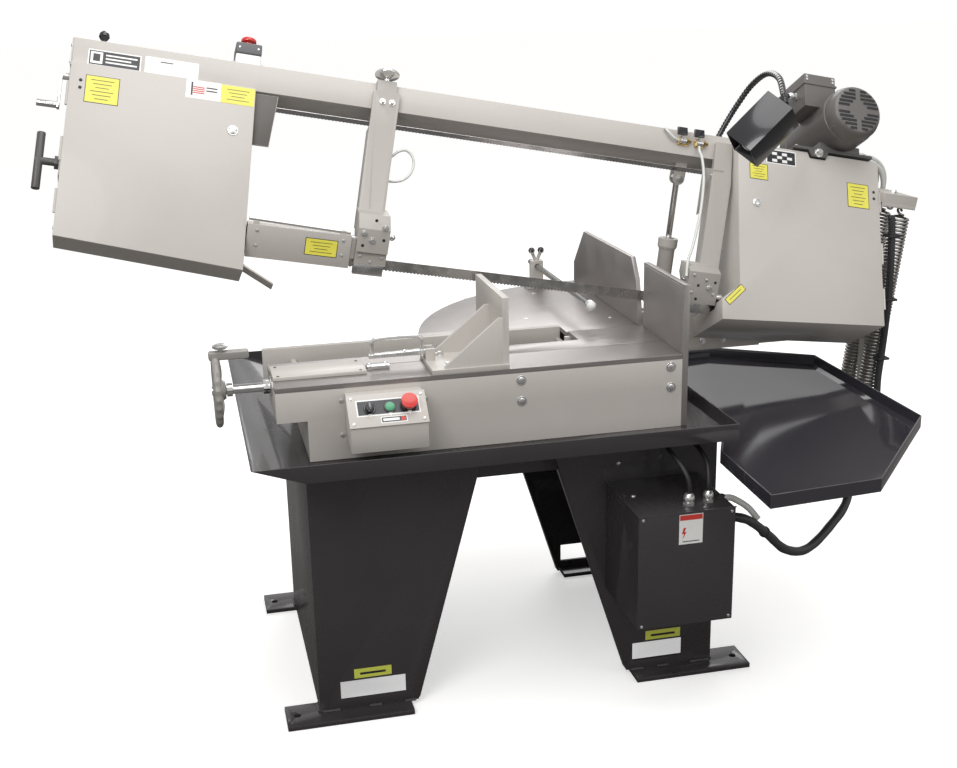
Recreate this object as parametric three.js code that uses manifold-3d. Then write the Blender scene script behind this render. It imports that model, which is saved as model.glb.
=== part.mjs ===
// Pull-down swivel band saw with a canted head. Millimetres, +Z up, +X to the drive end, +Y to the back.
import * as THREE from "three";
import { mergeVertices } from "three/addons/utils/BufferGeometryUtils.js";
import Module from "manifold-3d";

const manifold = await Module();
manifold.setup();

// ---- driving dimensions ----
const ORIGIN = [141.27, 231]; // plan position that becomes the part's origin
const HEAD_RISE = THREE.MathUtils.degToRad(10.6); // head angle above level at rest
const HEAD_CANT = THREE.MathUtils.degToRad(30); // wheel plane leans back
const CUT = [86.8, 300, 1019.9]; // a point on the blade's centre line
const PIVOT = [826, 880]; // x, z of the head pivot
const SWIVEL = [470, 300]; // x, y of the swivel axis
const BLADE_WIDTH = 27;
const BLADE_THICK = 1;
const WHEEL_R = 184.5;
const WHEEL_Z = 185.8; // wheel centre above the cutting line, in the canted frame
const IDLER_X = -862;
const DRIVE_X = 851;
const PAN_FLOOR = 688;
const RIM_TOP = 729;
const TABLE_TOP = 873;
const GAP = 0.375;
const JAW_FACE = 460;
const JAW_OPEN = 429;
const SPRING_X = 1268; // top hooks
const SPRING_FOOT_X = 1200;
const SPRING_R = 28;
const CYL_Y = 541;
const BEAM = { x0: -1079, x1: 639, y0: -22, y1: 68, z0: 404, z1: 474 };

// ---- materials ----
const shade = (name, color) => {
  const m = new THREE.MeshStandardMaterial({ color });
  m.name = name;
  return m;
};
const PALETTE = {
  grey: 0xcfcac4,
  arm: 0xb0a9a2,
  dark: 0x3f3c3e,
  steel: 0x9a9490,
  chrome: 0xd8d8d8,
  cast: 0x6a6462,
  black: 0x17151a,
  red: 0xc8281e,
  green: 0x3a9a4a,
  spring: 0x8a8682,
};

// ---- shapes ----
const block = (x0, x1, y0, y1, z0, z1) =>
  new THREE.BoxGeometry(x1 - x0, y1 - y0, z1 - z0).translate((x0 + x1) / 2, (y0 + y1) / 2, (z0 + z1) / 2);

function rod(a, b, r, seg = 20, r2 = r) {
  const from = new THREE.Vector3(...a);
  const along = new THREE.Vector3(...b).sub(from);
  const g = new THREE.CylinderGeometry(r2, r, along.length(), seg);
  g.translate(0, along.length() / 2, 0);
  const turn = new THREE.Quaternion().setFromUnitVectors(new THREE.Vector3(0, 1, 0),
    along.clone().normalize());
  return g.applyQuaternion(turn).translate(from.x, from.y, from.z);
}

const outline = (points) => new THREE.Shape(points.map((p) => new THREE.Vector2(...p)));
const extrude = (points, depth) =>
  new THREE.ExtrudeGeometry(outline(points), { depth, bevelEnabled: false, steps: 1 });
const basis = (x, y, z) =>
  new THREE.Matrix4().makeBasis(new THREE.Vector3(...x), new THREE.Vector3(...y), new THREE.Vector3(...z));

// Flat plates cut from an outline: in plan, in side elevation (x, z) and in end elevation (y, z).
const planPlate = (points, z0, z1) => extrude(points, z1 - z0).translate(0, 0, z0);
const sidePlate = (points, y0, y1) =>
  extrude(points, y1 - y0).applyMatrix4(basis([1, 0, 0], [0, 0, 1], [0, -1, 0])).translate(0, y1, 0);
const endPlate = (points, x0, x1) =>
  extrude(points, x1 - x0).applyMatrix4(basis([0, 1, 0], [0, 0, 1], [1, 0, 0])).translate(x0, 0, 0);

// A turned piece: profile points are (radius, distance along the axis from a towards b).
function turned(profile, a, b, seg = 32) {
  const g = new THREE.LatheGeometry(profile.map((p) => new THREE.Vector2(...p)), seg);
  const from = new THREE.Vector3(...a);
  const along = new THREE.Vector3(...b).sub(from).normalize();
  return g.applyQuaternion(new THREE.Quaternion().setFromUnitVectors(new THREE.Vector3(0, 1, 0), along))
    .translate(from.x, from.y, from.z);
}

function pipe(points, r, seg = 10, steps = 24, tension = 0.5) {
  const path = new THREE.CatmullRomCurve3(points.map((p) => new THREE.Vector3(...p)), false, "catmullrom",
    tension);
  const ring = Array.from({ length: seg }, (_, i) => {
    const a = (i / seg) * Math.PI * 2;
    return [Math.cos(a) * r, Math.sin(a) * r];
  });
  return new THREE.ExtrudeGeometry(outline(ring), { extrudePath: path, steps, bevelEnabled: false });
}

// ---- joining and cutting ----
function toSolid(shape) {
  if (!shape.isBufferGeometry) return shape;
  const bare = new THREE.BufferGeometry().setAttribute("position", shape.getAttribute("position").clone());
  if (shape.index) bare.setIndex(shape.index.clone());
  const merged = mergeVertices(bare, 1e-3);
  const corners = merged.index.array;
  const kept = [];
  for (let i = 0; i < corners.length; i += 3) {
    const [a, b, c] = [corners[i], corners[i + 1], corners[i + 2]];
    if (a !== b && b !== c && c !== a) kept.push(a, b, c);
  }
  const make = (tri) => new manifold.Manifold(new manifold.Mesh({
    numProp: 3,
    vertProperties: new Float32Array(merged.attributes.position.array),
    triVerts: new Uint32Array(tri),
  }));
  const solid = make(kept);
  if (solid.volume() > 0) return solid;
  const flipped = [];
  for (let i = 0; i < kept.length; i += 3) flipped.push(kept[i], kept[i + 2], kept[i + 1]);
  return make(flipped);
}
const join = (...shapes) => manifold.Manifold.union(shapes.map(toSolid));
const cut = (from, ...away) => away.reduce((left, a) => left.subtract(toSolid(a)), toSolid(from));

function toGeometry(solid) {
  const mesh = solid.getMesh();
  const g = new THREE.BufferGeometry();
  const flat = new Float32Array(mesh.numVert * 3);
  for (let i = 0; i < mesh.numVert; i++)
    for (let k = 0; k < 3; k++) flat[i * 3 + k] = mesh.vertProperties[i * mesh.numProp + k];
  g.setAttribute("position", new THREE.BufferAttribute(flat, 3));
  g.setIndex([...mesh.triVerts]);
  const plain = g.toNonIndexed();
  plain.computeVertexNormals();
  return plain;
}

// ---- frames: world, straight (along the raised head) and canted (in the wheel plane, +y to the back) ----
const shift = new THREE.Matrix4().makeTranslation(-ORIGIN[0], -ORIGIN[1], 0);
const straight = shift.clone()
  .multiply(new THREE.Matrix4().makeTranslation(...CUT))
  .multiply(new THREE.Matrix4().makeRotationY(HEAD_RISE));
const canted = straight.clone().multiply(new THREE.Matrix4().makeRotationX(-HEAD_CANT));
const fromCanted = new THREE.Matrix4().makeRotationX(-HEAD_CANT);
const inStraight = (shape) => toSolid(toGeometry(toSolid(shape)).applyMatrix4(fromCanted));

const group = new THREE.Group();
group.name = "horizontal_band_saw";
function add(name, shape, paint, frame = shift) {
  const g = toGeometry(toSolid(shape)).applyMatrix4(frame);
  const mesh = new THREE.Mesh(g, shade(paint, PALETTE[paint]));
  mesh.name = name;
  group.add(mesh);
}

// ---- stand ----
function legs() {
  const slot = { left: [-400, -236, 39, 88], right: [362, 498, 36, 87] };
  const panels = {
    left: [[-454, 12 + GAP], [-205, 12 + GAP], [-17, PAN_FLOOR - GAP], [-454, PAN_FLOOR - GAP]],
    right: [[346, 12 + GAP], [579, 12 + GAP], [579, PAN_FLOOR - GAP], [135, PAN_FLOOR - GAP]],
  };
  const webs = { left: [-454, -448], right: [573, 579] };
  for (const side of ["left", "right"]) {
    const [x0, x1, z0, z1] = slot[side];
    const web = block(...webs[side], 50, 706, 12 + GAP, PAN_FLOOR - GAP);
    const leg = join(web, sidePlate(panels[side], 50, 56), sidePlate(panels[side], 700, 706));
    add(`leg_${side}`, cut(leg, block(x0, x1, 40, 716, z0, z1)), "dark");
  }
  const plates = [["front_left", -538, -224, 0], ["front_right", 360, 671, 0],
    ["rear_left", -538, -224, 652], ["rear_right", 360, 671, 652]];
  for (const [name, x0, x1, y0] of plates) {
    const hole = name.endsWith("left") ? x0 + 28 : x1 - 28;
    const bolt = rod([hole, y0 + 51, -5], [hole, y0 + 51, 20], 9);
    add(`foot_${name}`, cut(block(x0, x1, y0, y0 + 102, 0, 12), bolt), "dark");
  }
  const apron = [[-62, 588], [182, 588], [150, PAN_FLOOR - GAP], [-30, PAN_FLOOR - GAP]];
  add("apron", join(sidePlate(apron, 56 + GAP, 60), block(-40, 160, 56 + GAP, 96, 683, PAN_FLOOR - GAP)),
    "dark");
}

function trays() {
  const [left, ramp, right, front, back] = [-588, -470, 556, -129, 870];
  const skin = sidePlate([[left, RIM_TOP], [ramp, PAN_FLOOR], [right, PAN_FLOOR], [right, RIM_TOP]], front,
    back);
  const hollow = sidePlate(
    [[left + 9, RIM_TOP + 1], [ramp + 1, PAN_FLOOR + 3], [right - 3, PAN_FLOOR + 3],
      [right - 3, RIM_TOP + 1]],
    front + 3, back - 3);
  add("chip_pan", cut(skin, hollow), "dark");
  const floor = 644;
  const edge = [[491, -443], [767, -418], [1082, -54], [1086, 530], [828, 700], [585, 700], [585, 30],
    [500, -150]];
  const inner = [[495, -439.7], [765.5, -415], [1079, -52.8], [1083, 528.4], [827.2, 697], [588, 697],
    [588, 29.4], [503.2, -150.6]];
  const tray = cut(planPlate(edge, floor, floor + 32), planPlate(inner, floor + 3, floor + 40));
  const strut = sidePlate([[583, 540], [592, 540], [760, floor + 1], [583, floor + 1]], 200, 206);
  add("chip_tray", join(tray, strut, block(579 + GAP, 585, 180, 226, 540, floor + 10)), "dark");
}

function electrical() {
  const [x0, x1, y0, y1, z0, z1] = [286, 526, -188, 50 - GAP, 257, 545];
  const inside = block(x0 + 3, x1 - 3, y0 - 1, y1 - 3, z0 + 3, z1 - 3);
  add("electrical_box", cut(block(x0, x1, y0, y1, z0, z1), inside), "dark");
  add("electrical_cover", block(x0, x1, y0 - 4, y0 - GAP, z0, z1), "dark");
}

// ---- bed, table and jaws ----
function bed() {
  const [left, right, low, top] = [-516, JAW_FACE - GAP, PAN_FLOOR + 3 + GAP, 861];
  const frame = join(
    block(left, right, 0, 12, 790, top), block(-446, right, 0, 12, low, 791),
    block(left, -504, 11, 206, 790, top),
    block(-446, -434, 11, 206, low, top), block(-446, -434, 205, 385, low, 835),
    block(left, right, 195, 205, 790, top), block(-446, right, 195, 205, low, 791),
    block(left, 262, 369, 385, 790, 866), block(-446, 262, 369, 385, low, 791),
    block(250, 262, 204, 370, low, 835),
    block(250, 400, 278, 290, low, top), block(389, 400, 204, 279, low, top),
  );
  const bore = rod([-530, 110, 848], [-420, 110, 848], 12);
  add("bed_frame", cut(frame, bore), "grey");
  add("table_front_rail", block(left, right, 0, 128, top + GAP, TABLE_TOP), "steel");
  const plate = [[left, 131], [right, 131], [right, 292], [262, 292], [262, 205], [left, 205]];
  const groove = block(36, 38, 120, 300, TABLE_TOP - 0.5, TABLE_TOP + 5);
  add("table_plate", cut(planPlate(plate, top + GAP, TABLE_TOP), groove), "steel");
  add("screw_cover", block(-514, -297, 60, 160, TABLE_TOP + GAP, 881), "grey");
  const jaw = [[0, low], [230, low], [230, 866], [278, 866], [278, 1043], [0, 1043]];
  const wearPlate = block(JAW_FACE - 1, JAW_FACE + 1, 5, 272, 876, 1038);
  add("fixed_jaw", join(endPlate(jaw, JAW_FACE, JAW_FACE + 15), wearPlate), "steel");
  const arc = Array.from({ length: 25 }, (_, i) => {
    const a = THREE.MathUtils.lerp(Math.asin(86 / 590), Math.PI / 2, i / 24);
    return [SWIVEL[0] - 590 * Math.cos(a), SWIVEL[1] + 590 * Math.sin(a)];
  });
  const quadrant = [...arc, [486, 890], [486, 309], [262 + GAP, 309], [262 + GAP, 386]];
  const ribs = [block(100, 112, 420, 800, low, 856), block(100, 300, 600, 612, low, 856)];
  add("quadrant_table", join(planPlate(quadrant, 854, 866), ...ribs), "steel");
  const fence = [[318, 866 + GAP], [318, 904], [338, 986], [376, 1038], [790, 1033], [885, 926],
    [885, 866 + GAP]];
  add("rear_fence", endPlate(fence, JAW_FACE, JAW_FACE + 12), "steel");
}

function vise() {
  const face = JAW_FACE - JAW_OPEN;
  const foot = TABLE_TOP + GAP;
  const web = [[face - 14, 884], [face - 14, 996], [face - 24, 996], [-122, 890], [-122, 884]];
  const ears = [block(-152, -130, 82, 90, 880, 914), block(-152, -130, 114, 122, 880, 914)];
  add("moving_jaw", join(
    block(face - 15, face, 5, 278, foot, 1043), block(-153, face - 1, -1, 156, foot, 885),
    sidePlate(web, 4, 14), sidePlate(web, 142, 152), ...ears), "grey");
  const lift = [[-160, 899], [-286, 899], [-286, 907], [-160, 910], [-146, 910], [-146, 899]];
  const bow = pipe([[-276, 102, 903], [-277, 102, 935], [-268, 102, 943], [-212, 102, 945],
    [-166, 102, 943],
    [-158, 102, 935], [-158, 102, 905]], 5, 10, 28, 0.3);
  add("release_lever", join(sidePlate(lift, 92, 112), bow), "chrome");
  const screw = turned([[0, 0], [11, 0], [11, 117], [15, 117], [15, 133], [11, 133], [11, 480], [0, 480]],
    [-652, 110, 848], [0, 110, 848], 24);
  add("lead_screw", screw, "chrome");
  const rim = turned([[72, 0], [84, 2], [84, 18], [72, 20]].concat([[72, 0]]), [-650, 110, 848],
    [0, 110, 848], 40);
  const hub = turned([[11.3, -2], [24, -2], [24, 30], [11.3, 30], [11.3, -2]], [-650, 110, 848],
    [0, 110, 848]);
  const spokes = [0, 120, 240].map((deg) => {
    const a = THREE.MathUtils.degToRad(deg);
    const at = (r) => [-640, 110 + Math.sin(a) * r, 848 + Math.cos(a) * r];
    return rod(at(18), at(78), 7, 12);
  });
  const grip = [block(-656, -560, 99, 121, 922, 942), rod([-626, 110, 930], [-626, 110, 952], 5, 12),
    rod([-626, 110, 952], [-626, 110, 959], 18, 24)];
  add("handwheel", join(rim, hub, ...spokes, ...grip), "cast");
}

function workStop() {
  const [x, y, z] = [330, 840, 930];
  const post = block(x - 18, x + 18, y - 12, y + 12, 866 + GAP, z + 16);
  const handles = [-1, 1].map((s) => join(
    rod([x, y, z + 10], [x + s * 14, y, z + 44], 5, 12), rod([x + s * 14, y - 8, z + 44],
      [x + s * 14, y + 8, z + 44], 7, 12)));
  const shape = join(block(x - 34, x + 34, y - 24, y + 24, 866 + GAP, 876), post, ...handles);
  add("stop_bracket", cut(shape, rod([x, y - 40, z], [x, y + 40, z], 8.4)), "grey");
  add("stop_rod", join(rod([x, 318, z], [x, 905, z], 8), rod([x, 312, z], [x, 326, z], 14, 24)), "chrome");
}

function controls() {
  const side = [[-GAP, 733], [-GAP, 850], [-35, 850], [-90, 793], [-90, 733]];
  const [x0, x1] = [-360, -183];
  const out = new THREE.Vector3(0, -57, 55).normalize();
  const onLid = (u, v, h) => {
    const y = THREE.MathUtils.lerp(-35, -90, v);
    const z = THREE.MathUtils.lerp(850, 793, v);
    return [THREE.MathUtils.lerp(x0, x1, u), y + out.y * h, z + out.z * h];
  };
  add("control_box", endPlate(side, x0, x1), "grey");
  add("selector_knob", rod(onLid(0.27, 0.45, 0.5), onLid(0.27, 0.45, 15), 10, 20), "black");
  add("start_button", rod(onLid(0.53, 0.45, 3.5), onLid(0.53, 0.45, 10), 11, 20), "green");
  add("stop_button", join(rod(onLid(0.78, 0.4, 7), onLid(0.78, 0.4, 16), 10, 20),
    rod(onLid(0.78, 0.4, 15), onLid(0.78, 0.4, 24), 19, 24)), "red");
}

// ---- swivelling base of the head ----
function swivel() {
  const [cx, cy] = SWIVEL;
  const [px, pz] = PIVOT;
  const low = PAN_FLOOR + 3 + GAP;
  add("swivel_pin", join(rod([cx, cy, low], [cx, cy, 704], 52, 32),
    rod([cx, cy, 700], [cx, cy, 843], 25, 32)), "cast");
  const deck = [[425, 285], [470, 250], [520, 262], [600, 380], [600, 450], [870, 450], [870, 517],
    [560, 517], [430, 340]];
  const ear = (y0, y1) => join(
    sidePlate([[px - 28, 860], [px + 28, 860], [px + 28, pz], [px - 28, pz]], y0, y1), rod([px, y0, pz],
      [px, y1, pz], 28, 28));
  const cheeks = [[450, 462], [505, 517]].map(([y0, y1]) => join(
    sidePlate([[560, 745], [870, 745], [870, 868], [640, 868], [560, 800]], y0, y1), ear(y0, y1)));
  const hub = rod([cx, cy, 705], [cx, cy, 846], 55, 36);
  const lower = rod([596, 510, 800], [596, 556, 800], 10, 16);
  const anchor = [block(800, 1217, 465, 495, 745, 790), block(1205, 1217, 465, 495, 560, 790),
    block(1160, 1232, 370, 560, 560, 572)];
  const arm = join(planPlate(deck, 745, 757), hub, ...cheeks, lower, ...anchor);
  add("swivel_arm", cut(arm, rod([cx, cy, 690], [cx, cy, 860], 25.4, 32),
    rod([px, 430, pz], [px, 540, pz], 18.4, 24)), "grey");
  add("pivot_shaft", rod([px, 444, pz], [px, 523, pz], 17.9, 24), "chrome");
  for (const [name, y] of [["spring_front", 430], ["spring_rear", 530]])
    add(name, rod([SPRING_FOOT_X, y, 572 + 4 + GAP], [SPRING_X, y, 1108], SPRING_R, 20), "spring");
}

function cylinder() {
  const foot = new THREE.Vector3(596, CYL_Y, 800);
  const topPin = new THREE.Vector3(516, CYL_Y - CUT[1],
    294).applyMatrix4(straight).add(new THREE.Vector3(...ORIGIN, 0));
  const along = topPin.clone().sub(foot).setY(0).normalize();
  const at = (s) => foot.clone().addScaledVector(along, s).toArray();
  const reach = foot.distanceTo(topPin);
  const side = (p, d) => [p[0], p[1] + d, p[2]];
  const tube = join(rod(at(14), at(225), 22, 28), rod(at(222), at(246), 25, 28),
    rod(side(at(0), -11), side(at(0), 11), 22, 24));
  add("cylinder_barrel", cut(tube, rod(at(60), at(260), 8.4, 20),
    rod(side(at(0), -20), side(at(0), 20), 10.4, 20)), "grey");
  const eye = rod(side(at(reach), -8), side(at(reach), 8), 16, 20);
  add("cylinder_rod", join(rod(at(110), at(reach - 6), 8, 20), eye), "chrome");
}

// ---- head ----
function beam() {
  const { x0, x1, y0, y1, z0, z1 } = BEAM;
  const tube = cut(block(x0, x1, y0, y1, z0, z1), block(x0 - 5, x1 + 5, y0 + 6, y1 - 6, z0 + 6, z1 - 6));
  const solid = inStraight(tube);
  const ears = [[225, 231], [251, 257]].map(([a, b]) => join(block(500, 532, a, b, 290, 350),
    rod([516, a, 292], [516, b, 292], 16, 20)));
  const keep = inStraight(block(400, 600, y0 + 3, y1 + 200, z0 + 3, z1 + 100));
  const heads = [rod([516, 222, 294], [516, 225.5, 294], 9, 16),
    rod([516, 256.5, 294], [516, 260, 294], 9, 16)];
  add("beam", join(solid, cut(join(...ears, ...heads), keep)), "grey", straight);
}

function idler() {
  const shell = [[-1079, -35], [-646, -67], [-646, 403.7], [-1079, 403.7]];
  const inside = [[-1075, -31], [-650, -62.5], [-650, 399.7], [-1075, 399.7]];
  const gusset = [[-647, 398], [-588, 398], [-604, 262], [-647, 262]];
  const lip = [[-648, -52], [-572, -92], [-572, -88], [-648, -47]];
  const box = cut(join(
    cut(sidePlate(shell, -36 + GAP, 47), sidePlate(inside, -50, 43)),
    rod([IDLER_X, 44, WHEEL_Z], [IDLER_X, -20, WHEEL_Z], 13.5, 24),
    sidePlate(gusset, -21, -17), sidePlate(lip, -32, 8)),
  block(-655, -640, -17, 17, -17, 17), block(-655, -640, -16.5, 16.5, 360, 384));
  add("idler_housing", box, "grey", canted);
  add("idler_cover", sidePlate([[-1079, -35], [-646, -67], [-646, 402], [-1079, 402]], -40, -36), "grey",
    canted);
  add("idler_wheel", wheel(IDLER_X, 14, 15), "cast", canted);
  const screw = join(rod([-1079 - GAP, 0, 158], [-1138, 0, 158], 9, 16),
    rod([-1079 - GAP, 0, 158], [-1094, 0, 158], 17, 6),
    rod([-1130, 0, 88], [-1130, 0, 228], 10, 12));
  add("tension_handle", screw, "cast", canted);
  const crank = join(rod([-1079 - GAP, 10, 384], [-1100, 10, 384], 8, 16),
    block(-1104, -1098, 2, 18, 300, 394),
    rod([-1150, 10, 308], [-1098, 10, 308], 8, 16));
  add("crank_handle", crank, "chrome", canted);
  const ball = turned([[0, 0], [4, 0], [4, 18], [9, 21], [13, 28], [12, 36], [7, 42], [0, 43]],
    [-1013, 20, 479], [-1013, 20, 600], 20);
  add("ball_lever", ball, "black", canted);
  add("estop_box", block(-698, -636, -10, 48, 474 + GAP, 536), "black", canted);
  add("estop_button", turned([[0, 0], [11, 0], [11, 8], [19, 10], [19, 18], [15, 22], [0, 22]],
    [-667, 19, 536 + GAP + 4],
    [-667, 19, 700], 24), "red", canted);
}

function wheel(x, bore, hubBack) {
  const profile = [[bore, -15], [36, -15], [36, -5], [166, -5], [166, -14], [WHEEL_R, -14], [WHEEL_R, 14],
    [166, 14],
    [166, 5], [36, 5], [36, hubBack], [bore, hubBack], [bore, -15]];
  const disc = turned(bore ? profile : profile.slice(0, -1), [x, 0, WHEEL_Z], [x, 100, WHEEL_Z], 48);
  const holes = Array.from({ length: 5 }, (_, i) => {
    const a = (i / 5) * Math.PI * 2;
    const [hx, hz] = [x + 104 * Math.sin(a), WHEEL_Z + 104 * Math.cos(a)];
    return rod([hx, -20, hz], [hx, 20, hz], 34, 20);
  });
  return cut(disc, ...holes);
}

function drive() {
  const shell = [[582, -59], [1060, -27], [1066, 447], [640, 447], [634, 38], [582, -5]];
  const inside = [[586, -54.7], [1056, -23.3], [1062, 443], [644, 443], [638, 36.1], [586, -6.9]];
  const box = cut(join(
    cut(sidePlate(shell, -58 + GAP, 112), sidePlate(inside, -70, 108))),
  block(560, 655, -18, 18, -18, 18), block(630, 650, -16.5, 16.5, 360, 384),
  rod([DRIVE_X, 100, WHEEL_Z], [DRIVE_X, 120, WHEEL_Z], 25, 24));
  const front = inStraight(block(-2000, 2000, -900, 109, -900, 900));
  const lug = join(block(727, 777, 165, 202, -1.5, 180),
    rod([752.3, 165, -1.5], [752.3, 202, -1.5], 28, 28));
  const hanger = join(block(1059, 1090, 137, 260, 318, 345), block(1070, 1172, 100, 260, 318, 345));
  const body = join(inStraight(box), cut(lug, front), hanger);
  add("drive_housing", cut(body, rod([752.3, 150, -1.5], [752.3, 220, -1.5], 18.4, 24)), "grey", straight);
  const notch = sidePlate([[855, 431], [903, 431], [916, 470], [840, 470]], -70, -50);
  add("drive_cover", cut(sidePlate(shell, -62, -58), notch), "grey", canted);
  const shaft = rod([DRIVE_X, 10, WHEEL_Z], [DRIVE_X, 152, WHEEL_Z], 20, 24);
  add("drive_wheel", join(wheel(DRIVE_X, 0, 60), shaft), "cast", canted);
  const hole = rod([DRIVE_X, 100, WHEEL_Z], [DRIVE_X, 155, WHEEL_Z], 22, 24);
  const gears = join(block(802, 900, 112 + GAP, 170, 135, 262),
    rod([DRIVE_X, 165, WHEEL_Z], [DRIVE_X, 171.7, WHEEL_Z], 40, 28));
  add("gearbox", cut(gears, hole), "cast", canted);
  const belt = (r0, r1, y0, y1) => {
    const low = rod([DRIVE_X, y0, WHEEL_Z], [DRIVE_X, y1, WHEEL_Z], r0, 28);
    const high = rod([950, y0, 543], [950, y1, 543], r1, 28);
    return toSolid(manifold.Manifold.hull([toSolid(low), toSolid(high)]));
  };
  add("belt_guard", cut(belt(60, 56, 172, 212), belt(57, 53, 170, 209)), "grey", canted);
}

function motor() {
  const [x, z, r] = [950, 543, 78];
  const body = turned([[0, 0], [50, 0], [56, 8], [r, 14], [r, 296], [r - 8, 310], [0, 310]], [x, -160, z],
    [x, 300, z], 36);
  const shaft = rod([x, 140, z], [x, 200, z], 11, 16);
  const box = block(835, 930, -85, 25, 570, 672);
  const feet = block(888, 1012, -60, 90, 460 + GAP, 482);
  add("motor", join(body, shaft, box, feet), "cast", canted);
  const tab = [[858, 434], [900, 434], [912, 456], [846, 456]];
  const pads = [block(820, 850, -40, 90, 447 + GAP, 454), block(1010, 1040, -40, 90, 447 + GAP, 454)];
  const plate = block(805, 1045, -70, 100, 452, 460);
  add("motor_plate", join(plate, sidePlate(tab, -70, -58), ...pads), "cast", canted);
}

function lamp() {
  const [a, b] = [[520, -120, 412], [607, -120, 528]];
  const dir = new THREE.Vector3(...b).sub(new THREE.Vector3(...a)).normalize();
  const turn = new THREE.Quaternion().setFromUnitVectors(new THREE.Vector3(0, 0, 1), dir);
  const spin = new THREE.Matrix4().makeRotationZ(THREE.MathUtils.degToRad(38));
  const place = (g) => toGeometry(toSolid(g)).applyMatrix4(spin).applyQuaternion(turn).translate(...a);
  add("lamp_head", cut(place(block(-42, 42, -42, 42, 0, 145)), place(block(-39, 39, -39, 39, -5, 141))),
    "black", straight);
  const neck = pipe([[612, 255, 396], [632, 256, 455], [652, 250, 510], [668, 220, 568], [662, 130, 604],
    [640, 10, 598],
    [618, -80, 562], [611, -118, 536]], 8, 12, 40);
  add("gooseneck", cut(join(neck, rod([611, 255, 392], [614, 255.5, 410], 18, 20)),
    inStraight(block(0, 2000, -900, 900, -900, 474 + GAP))),
    "black", straight);
}

// ---- blade and guides ----
function guides() {
  const slot = block(-2000, 2000, -2.6, 2.6, -30, 16);
  const arm = (face, deep) => inStraight(join(sidePlate(face, -36, -22 - GAP), sidePlate(deep, -36, 4)));
  const jaw = [[-20, 0.5], [16, 0.5], [16, 50], [52, 98], [52, 128], [0, 122], [-30, 90], [-30, 32],
    [-20, 32]];
  const left = join(
    arm([[-353, 448], [-285, 448], [-318, 70], [-380, 90]],
      [[-361, 352], [-300, 352], [-320, 70], [-380, 90]]),
    inStraight(block(-345, -295, -36, 60, 474 + GAP, 479)), inStraight(block(-345, -295, -36, -22 - GAP,
      440, 479)),
    endPlate(jaw, -380, -302));
  add("guide_arm_left", cut(left, slot), "arm", straight);
  const low = [[-30, 2], [16, 2], [16, 40], [44, 70], [44, 100], [0, 100], [-30, 86]];
  const right = join(
    arm([[590, 450], [637, 450], [629, 330], [582, 60], [520, 60], [540, 100]],
      [[575, 352], [628, 352], [582, 60], [530, 60]]),
    endPlate(low, 491, 578));
  add("guide_arm_right", cut(right, slot), "arm", straight);
  const knob = turned([[0, 0], [7, 0], [7, 6], [20, 14], [31, 16], [31, 22], [0, 22]],
    [-320, -29, 479 + GAP], [-320, -29, 700], 28);
  add("arm_knob", knob, "chrome", canted);
  const guard = cut(block(-643, -392, -20, 20, -14, 66), block(-650, -380, -17, 17, -30, 63));
  add("blade_guard", guard, "grey", straight);
}

// The band: round both wheels edge-on to the wheel plane, twisted upright between the guides.
function blade() {
  const run = WHEEL_Z;
  const upright = Math.PI / 2 - HEAD_CANT;
  const stations = [];
  const turnAt = (x) => {
    const ease = (t) => THREE.MathUtils.smoothstep(t, 0, 1);
    return upright * (ease((x + 640) / 240) - ease((x - 590) / 150));
  };
  const low = [-862, -760, -640, -600, -560, -520, -480, -440, -400, -100, 200, 590, 615, 640, 665, 690,
    715, 740];
  for (const x of low) stations.push({ p: [x, 0, 0], up: [0, 0, 1], twist: turnAt(x) });
  for (let i = 0; i <= 24; i++) {
    const a = (i / 24) * Math.PI;
    stations.push({ p: [DRIVE_X + run * Math.sin(a), 0, WHEEL_Z - run * Math.cos(a)],
      up: [-Math.sin(a), 0, Math.cos(a)], twist: 0 });
  }
  for (let i = 0; i < 24; i++) {
    const a = (i / 24) * Math.PI;
    stations.push({ p: [IDLER_X - run * Math.sin(a), 0, WHEEL_Z + run * Math.cos(a)],
      up: [Math.sin(a), 0, -Math.cos(a)], twist: 0 });
  }
  const points = [];
  for (const { p, up, twist } of stations) {
    const thick = new THREE.Vector3(...up);
    const wide = new THREE.Vector3(0, -1, 0);
    const c = Math.cos(twist), s = Math.sin(twist);
    const w = wide.clone().multiplyScalar(c).addScaledVector(thick, s);
    const t = thick.clone().multiplyScalar(c).addScaledVector(wide, -s);
    for (const [i, j] of [[-1, -1], [1, -1], [1, 1], [-1, 1]])
      points.push(new THREE.Vector3(...p).addScaledVector(w, (i * BLADE_WIDTH) / 2).addScaledVector(t,
        (j * BLADE_THICK) / 2));
  }
  const n = stations.length;
  const index = [];
  for (let k = 0; k < n; k++)
    for (let e = 0; e < 4; e++) {
      const [a, b] = [k * 4 + e, k * 4 + ((e + 1) % 4)];
      const [c, d] = [((k + 1) % n) * 4 + e, ((k + 1) % n) * 4 + ((e + 1) % 4)];
      // The back face takes the other diagonal, so that the two faces stay parallel through the twist.
      index.push(...(e === 2 ? [a, b, c, b, d, c] : [a, b, d, a, d, c]));
    }
  const g = new THREE.BufferGeometry().setFromPoints(points);
  g.setIndex(index);
  add("blade", g, "steel", canted);
}

function cords() {
  add("power_bundle", pipe([[536, -120, 494], [590, -126, 478], [645, -118, 432], [705, -98, 376],
    [782, -60, 350],
    [875, 0, 374], [967, 80, 415], [1012, 190, 480], [985, 300, 560], [900, 380, 600], [760, 410,
      608], [650, 410, 602],
    [584, 410, 600]], 11, 10, 64), "black");
  add("coolant_hose", pipe([[540, -31, 430], [540, -33, 415], [542, -44, 388], [543, -48, 325],
    [530, -50, 230],
    [506, -54, 137], [488, -60, 90], [482, -61, 45]], 4, 8, 36), "chrome", canted);
}

legs();
trays();
electrical();
bed();
vise();
workStop();
controls();
swivel();
cylinder();
beam();
idler();
drive();
motor();
lamp();
guides();
blade();
cords();

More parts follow.
